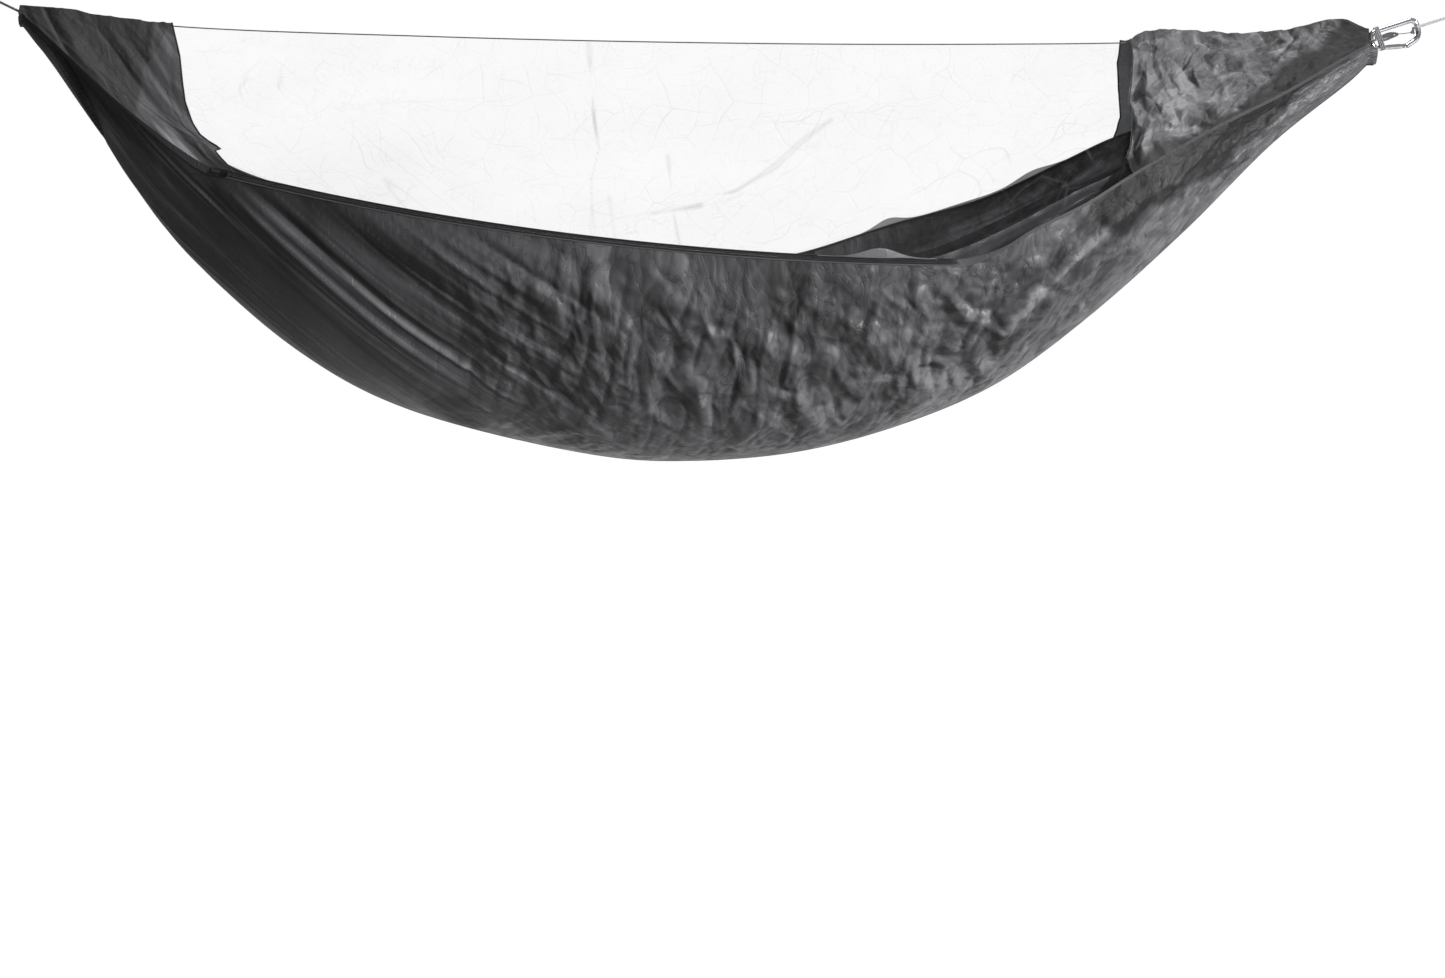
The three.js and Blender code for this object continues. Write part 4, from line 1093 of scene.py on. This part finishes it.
def carabiners(steel):
    for end in ("head", "foot"):
        for piece in ("frame", "hinge_pin", "latch_pin"):
            refined(f"{end}_carabiner_{piece}", f"{end}_{piece}", steel, "suspension")
        refined(f"{end}_carabiner_gate", f"{end}_gate", steel, f"{end}_gate")
        along = Vector((NOSE[0] - HINGE[0], NOSE[1] - HINGE[1])).normalized()
        path = []
        steps = 14 * SPRING_TURNS
        for k in range(steps):
            turn = 2 * math.pi * k / 14
            reach = 0.0135 + 0.0118 * k / (steps - 1)
            off = 0.0014 * math.cos(turn)
            path.append(in_carabiner(end, HINGE[0] + along.x * reach - along.y * off,
                                     HINGE[1] + along.y * reach + along.x * off, 0.0014 * math.sin(turn)))
        tube(f"{end}_spring", path, SPRING_R, steel, f"{end}_gate", 6,
             f"{end}_carabiner_gate_spring")


def smooth_path(points, per_span=8):
    """A rounded path through a few points."""
    p = [Vector(q) for q in points]
    p = [p[0] * 2 - p[1]] + p + [p[-1] * 2 - p[-2]]
    path = []
    for i in range(1, len(p) - 2):
        for k in range(per_span):
            t = k / per_span
            path.append(0.5 * (2 * p[i] + (p[i + 1] - p[i - 1]) * t
                               + (2 * p[i - 1] - 5 * p[i] + 4 * p[i + 1] - p[i + 2]) * t * t
                               + (3 * p[i] - p[i - 1] - 3 * p[i + 1] + p[i + 2]) * t ** 3))
    return path + [p[-2]]


# ---- gathered ends and cords ---------------------------------------------------------------

def hairpin(end, start, bend, half_start, half_bend, turn, v):
    """A hairpin of cord round a carabiner's bar, in the row frame."""
    path = [(start, half_start), ((start + bend) / 2, (half_start + half_bend) / 2)]
    for k in range(17):
        angle = math.pi / 2 - math.pi * k / 16
        path.append((bend + turn * half_bend * math.cos(angle), half_bend * math.sin(angle)))
    path += [((start + bend) / 2, -(half_start + half_bend) / 2), (start, -half_start)]
    return smooth_path([in_carabiner(end, u, v, y) for u, y in path], 5)


def gathered_end(end, offset, cloth, cord):
    """The bed's pleated end, with the winding that holds it and the loop to its carabiner."""
    middle = -0.001
    axis = in_carabiner(end, 1, middle) - in_carabiner(end, 0, middle)
    side = Vector((0, 1, 0))
    up = axis.cross(side)
    count, around = 26, 72
    rings = []
    for i in range(count):
        share = i / (count - 1)
        centre = in_carabiner(end, -offset - BUNDLE_LENGTH * share, middle)
        waist = 0.86 + 0.20 * abs(2 * share - 1) ** 2
        ring = []
        for k in range(around):
            a = 2 * math.pi * k / around
            fold = 1 + 0.10 * math.sin(11 * a + 1.5 * share) + 0.05 * math.sin(23 * a + 2)
            ring.append(centre + (side * math.cos(a) + up * math.sin(a)) * BUNDLE_R * waist * fold)
        rings.append(ring)
    mesh = ring_mesh(f"{end}_gather", rings)
    mesh.uv_layers.new(name="cloth")
    set_levels(mesh, thin=0.0, shade=0.6)
    add_piece(f"{end}_gather", mesh, cloth, f"bed_{end}_gather")
    path = []
    for k in range(WINDING_TURNS * 24 + 1):
        a = 2 * math.pi * k / 24
        centre = in_carabiner(end, -offset - 0.002 - 0.012 * k / (WINDING_TURNS * 24), middle)
        path.append(centre + (side * math.cos(a) + up * math.sin(a)) * (BUNDLE_R + 0.0013))
    tube(f"{end}_winding", path, WINDING_R, cord, sides=8, replaced=f"{end}_whipping")
    path = hairpin(end, -offset + 0.001, LOOP_CREST + LOOP_R - LOOP_HALF_AT_BAR,
                   LOOP_HALF_AT_BUNDLE, LOOP_HALF_AT_BAR, 1, middle)
    tube(f"{end}_cord_loop", path, LOOP_R, cord, sides=14, replaced=f"{end}_loop")


def trefoil(steps):
    """The points of a closed trefoil knot, about five units wide and two thick."""
    turns = [2 * math.pi * k / steps for k in range(steps)]
    return [(math.cos(t) - 2 * math.cos(2 * t), math.sin(t) + 2 * math.sin(2 * t), math.sin(3 * t))
            for t in turns]


def suspension(grey, dark, black):
    """The hanging cord and its knot, the lashing, the strap tab and the thin line."""
    seat_u, seat_v = STRAP_SEAT[0] + BAR_R, STRAP_SEAT[1]
    half = BAR_R + 0.0004 + SUSPENSION_R
    end_u = seat_u + SUSPENSION_LENGTH
    line = hairpin("foot", end_u, seat_u, SUSPENSION_R + 0.0003, half, -1, seat_v)
    cord = tube("suspension_cord", line, SUSPENSION_R, grey, "suspension", 16,
                "foot_suspension_cord")
    size = 0.0023
    path = [in_carabiner("foot", end_u + 0.0104 + size * 1.0625 * a, seat_v - size * 1.1 * c, size * b)
            for a, b, c in trefoil(120)]
    knot = tube("suspension_knot", path, size, grey, "suspension", 12,
                "foot_suspension_knot", closed=True)

    # lashing of braided cord round the carabiner's narrow end
    path = []
    for k in range(LASHING_TURNS * 40 + 1):
        a = 2 * math.pi * k / 40
        v = -0.001 + 0.0200 * math.copysign(abs(math.sin(a)) ** 0.8, math.sin(a))
        y = 0.0063 * math.copysign(abs(math.cos(a)) ** 0.5, math.cos(a))
        path.append(in_carabiner("foot", 0.0098 + 0.0030 * k / 40, v, y))
    tube("lashing", path, LASHING_R, dark, "suspension", 10)
    # a short black strap tab inside the carabiner, with its thin line tied at the wide bend
    for name, radius, sides, points in (
            ("strap_tab", 0.0019, 10, (
                (0.0165, 0.0008), (0.026, 0.0026), (0.036, 0.0022), (0.0445, -0.0012), (0.0465, -0.0030),
                (0.0440, -0.0044), (0.036, -0.0050), (0.026, -0.0060), (0.0165, -0.0052))),
            ("strap_tab_middle", 0.0026, 10, (
                (0.0168, -0.0006), (0.024, -0.0010), (0.032, -0.0016), (0.0395, -0.0022))),
            ("thin_line", 0.0007, 8, (
                (0.046, -0.0026), (0.055, -0.0048), (0.064, -0.0064), (0.0712, -0.0072)))):
        path = smooth_path([in_carabiner("foot", u, v) for u, v in points])
        tube(name, path, radius, black, "suspension", sides)
    path = [in_carabiner("foot", 0.0726 + 0.0011 * a, -0.0072 + 0.0012 * b, 0.0011 * c)
            for a, b, c in trefoil(60)]
    tube("thin_line_knot", path, 0.0010, black, "suspension", 8, closed=True)


def foot_frill(material):
    """The sleeve's raw end behind the foot carabiner, gathered in small pleats."""
    rows, columns = 60, 50
    u = np.linspace(0, 1, rows)[:, None]
    w = np.linspace(0, 1, columns)[None, :]
    top = np.stack([2.440 + 0.014 * u, 0 * u, -0.0865 - 0.006 * u], -1)
    low = np.stack([2.440 + 0.026 * u, 0 * u, -0.150 + 0.014 * u], -1)
    grid = top * (1 - w[..., None]) + low * w[..., None]
    pleats = 0.0016 * np.sin(w * 34 + 3 * u) + 0.0012 * noise(u * 3, w * 16, 0, 85)
    grid[..., 1] = 0.0115 + pleats * (0.4 + u)
    mesh = grid_mesh("foot_frill", grid, thin=0.1, shade=0.35)
    return add_piece("foot_frill", mesh, material, None)


# ---- assembly ------------------------------------------------------------------------------

make_camera()
make_studio()
nylon = nylon_material("ripstop_nylon", (0.055, 0.055, 0.058), 0.115)
rim_nylon = nylon_material("rim_nylon", (0.060, 0.060, 0.063), 0.13)
bed_nylon = nylon_material("bed_nylon", (0.028, 0.028, 0.030), 0.03)
hem = nylon_material("hem_nylon", (0.010, 0.010, 0.011), 0.0)
net = net_material()
black_cord = cord_material("black_cord", (0.012, 0.012, 0.014), (0.05, 0.05, 0.055))
grey_cord = cord_material("grey_cord", (0.27, 0.28, 0.29), (0.03, 0.03, 0.032))
lashing_cord = cord_material("lashing_cord", (0.14, 0.14, 0.15), (0.02, 0.02, 0.022))
thread = cord_material("thread", (0.020, 0.020, 0.022), (0.03, 0.03, 0.03))
zip_coil = zip_material("zip_coil", (0.005, 0.005, 0.006), 0.55)
zip_tape = nylon_material("zip_tape", (0.022, 0.022, 0.023), 0.0, 0.8, 0.0)
zip_metal = zip_material("zip_metal", (0.030, 0.030, 0.033), 0.35, 1.0)
steel = steel_material()

sleeve, sleeve_grid = sleeve_lower(nylon)
bed_sheet(bed_nylon)
panels(nylon, net)
lowest_line = sleeve_grid[::2, sleeve_grid.shape[1] // 2]
on_sleeve = edge_cords(black_cord, nylon, lowest_line) + zip_pieces() + [foot_frill(nylon)]
for word in ("head", "foot"):
    refined(f"zipper_{word}_stop", f"zip_{word}_stop", zip_metal, "hammock")
refined("zipper_slider", "zip_slider_body", zip_metal, "zip_slider")
refined("zipper_pull", "zip_pull_tab", zip_coil, "zip_pull")
carabiners(steel)
gathered_end("head", HEAD_BUNDLE_OFFSET, bed_nylon, black_cord)
gathered_end("foot", FOOT_BUNDLE_OFFSET, bed_nylon, black_cord)
suspension(grey_cord, lashing_cord, black_cord)
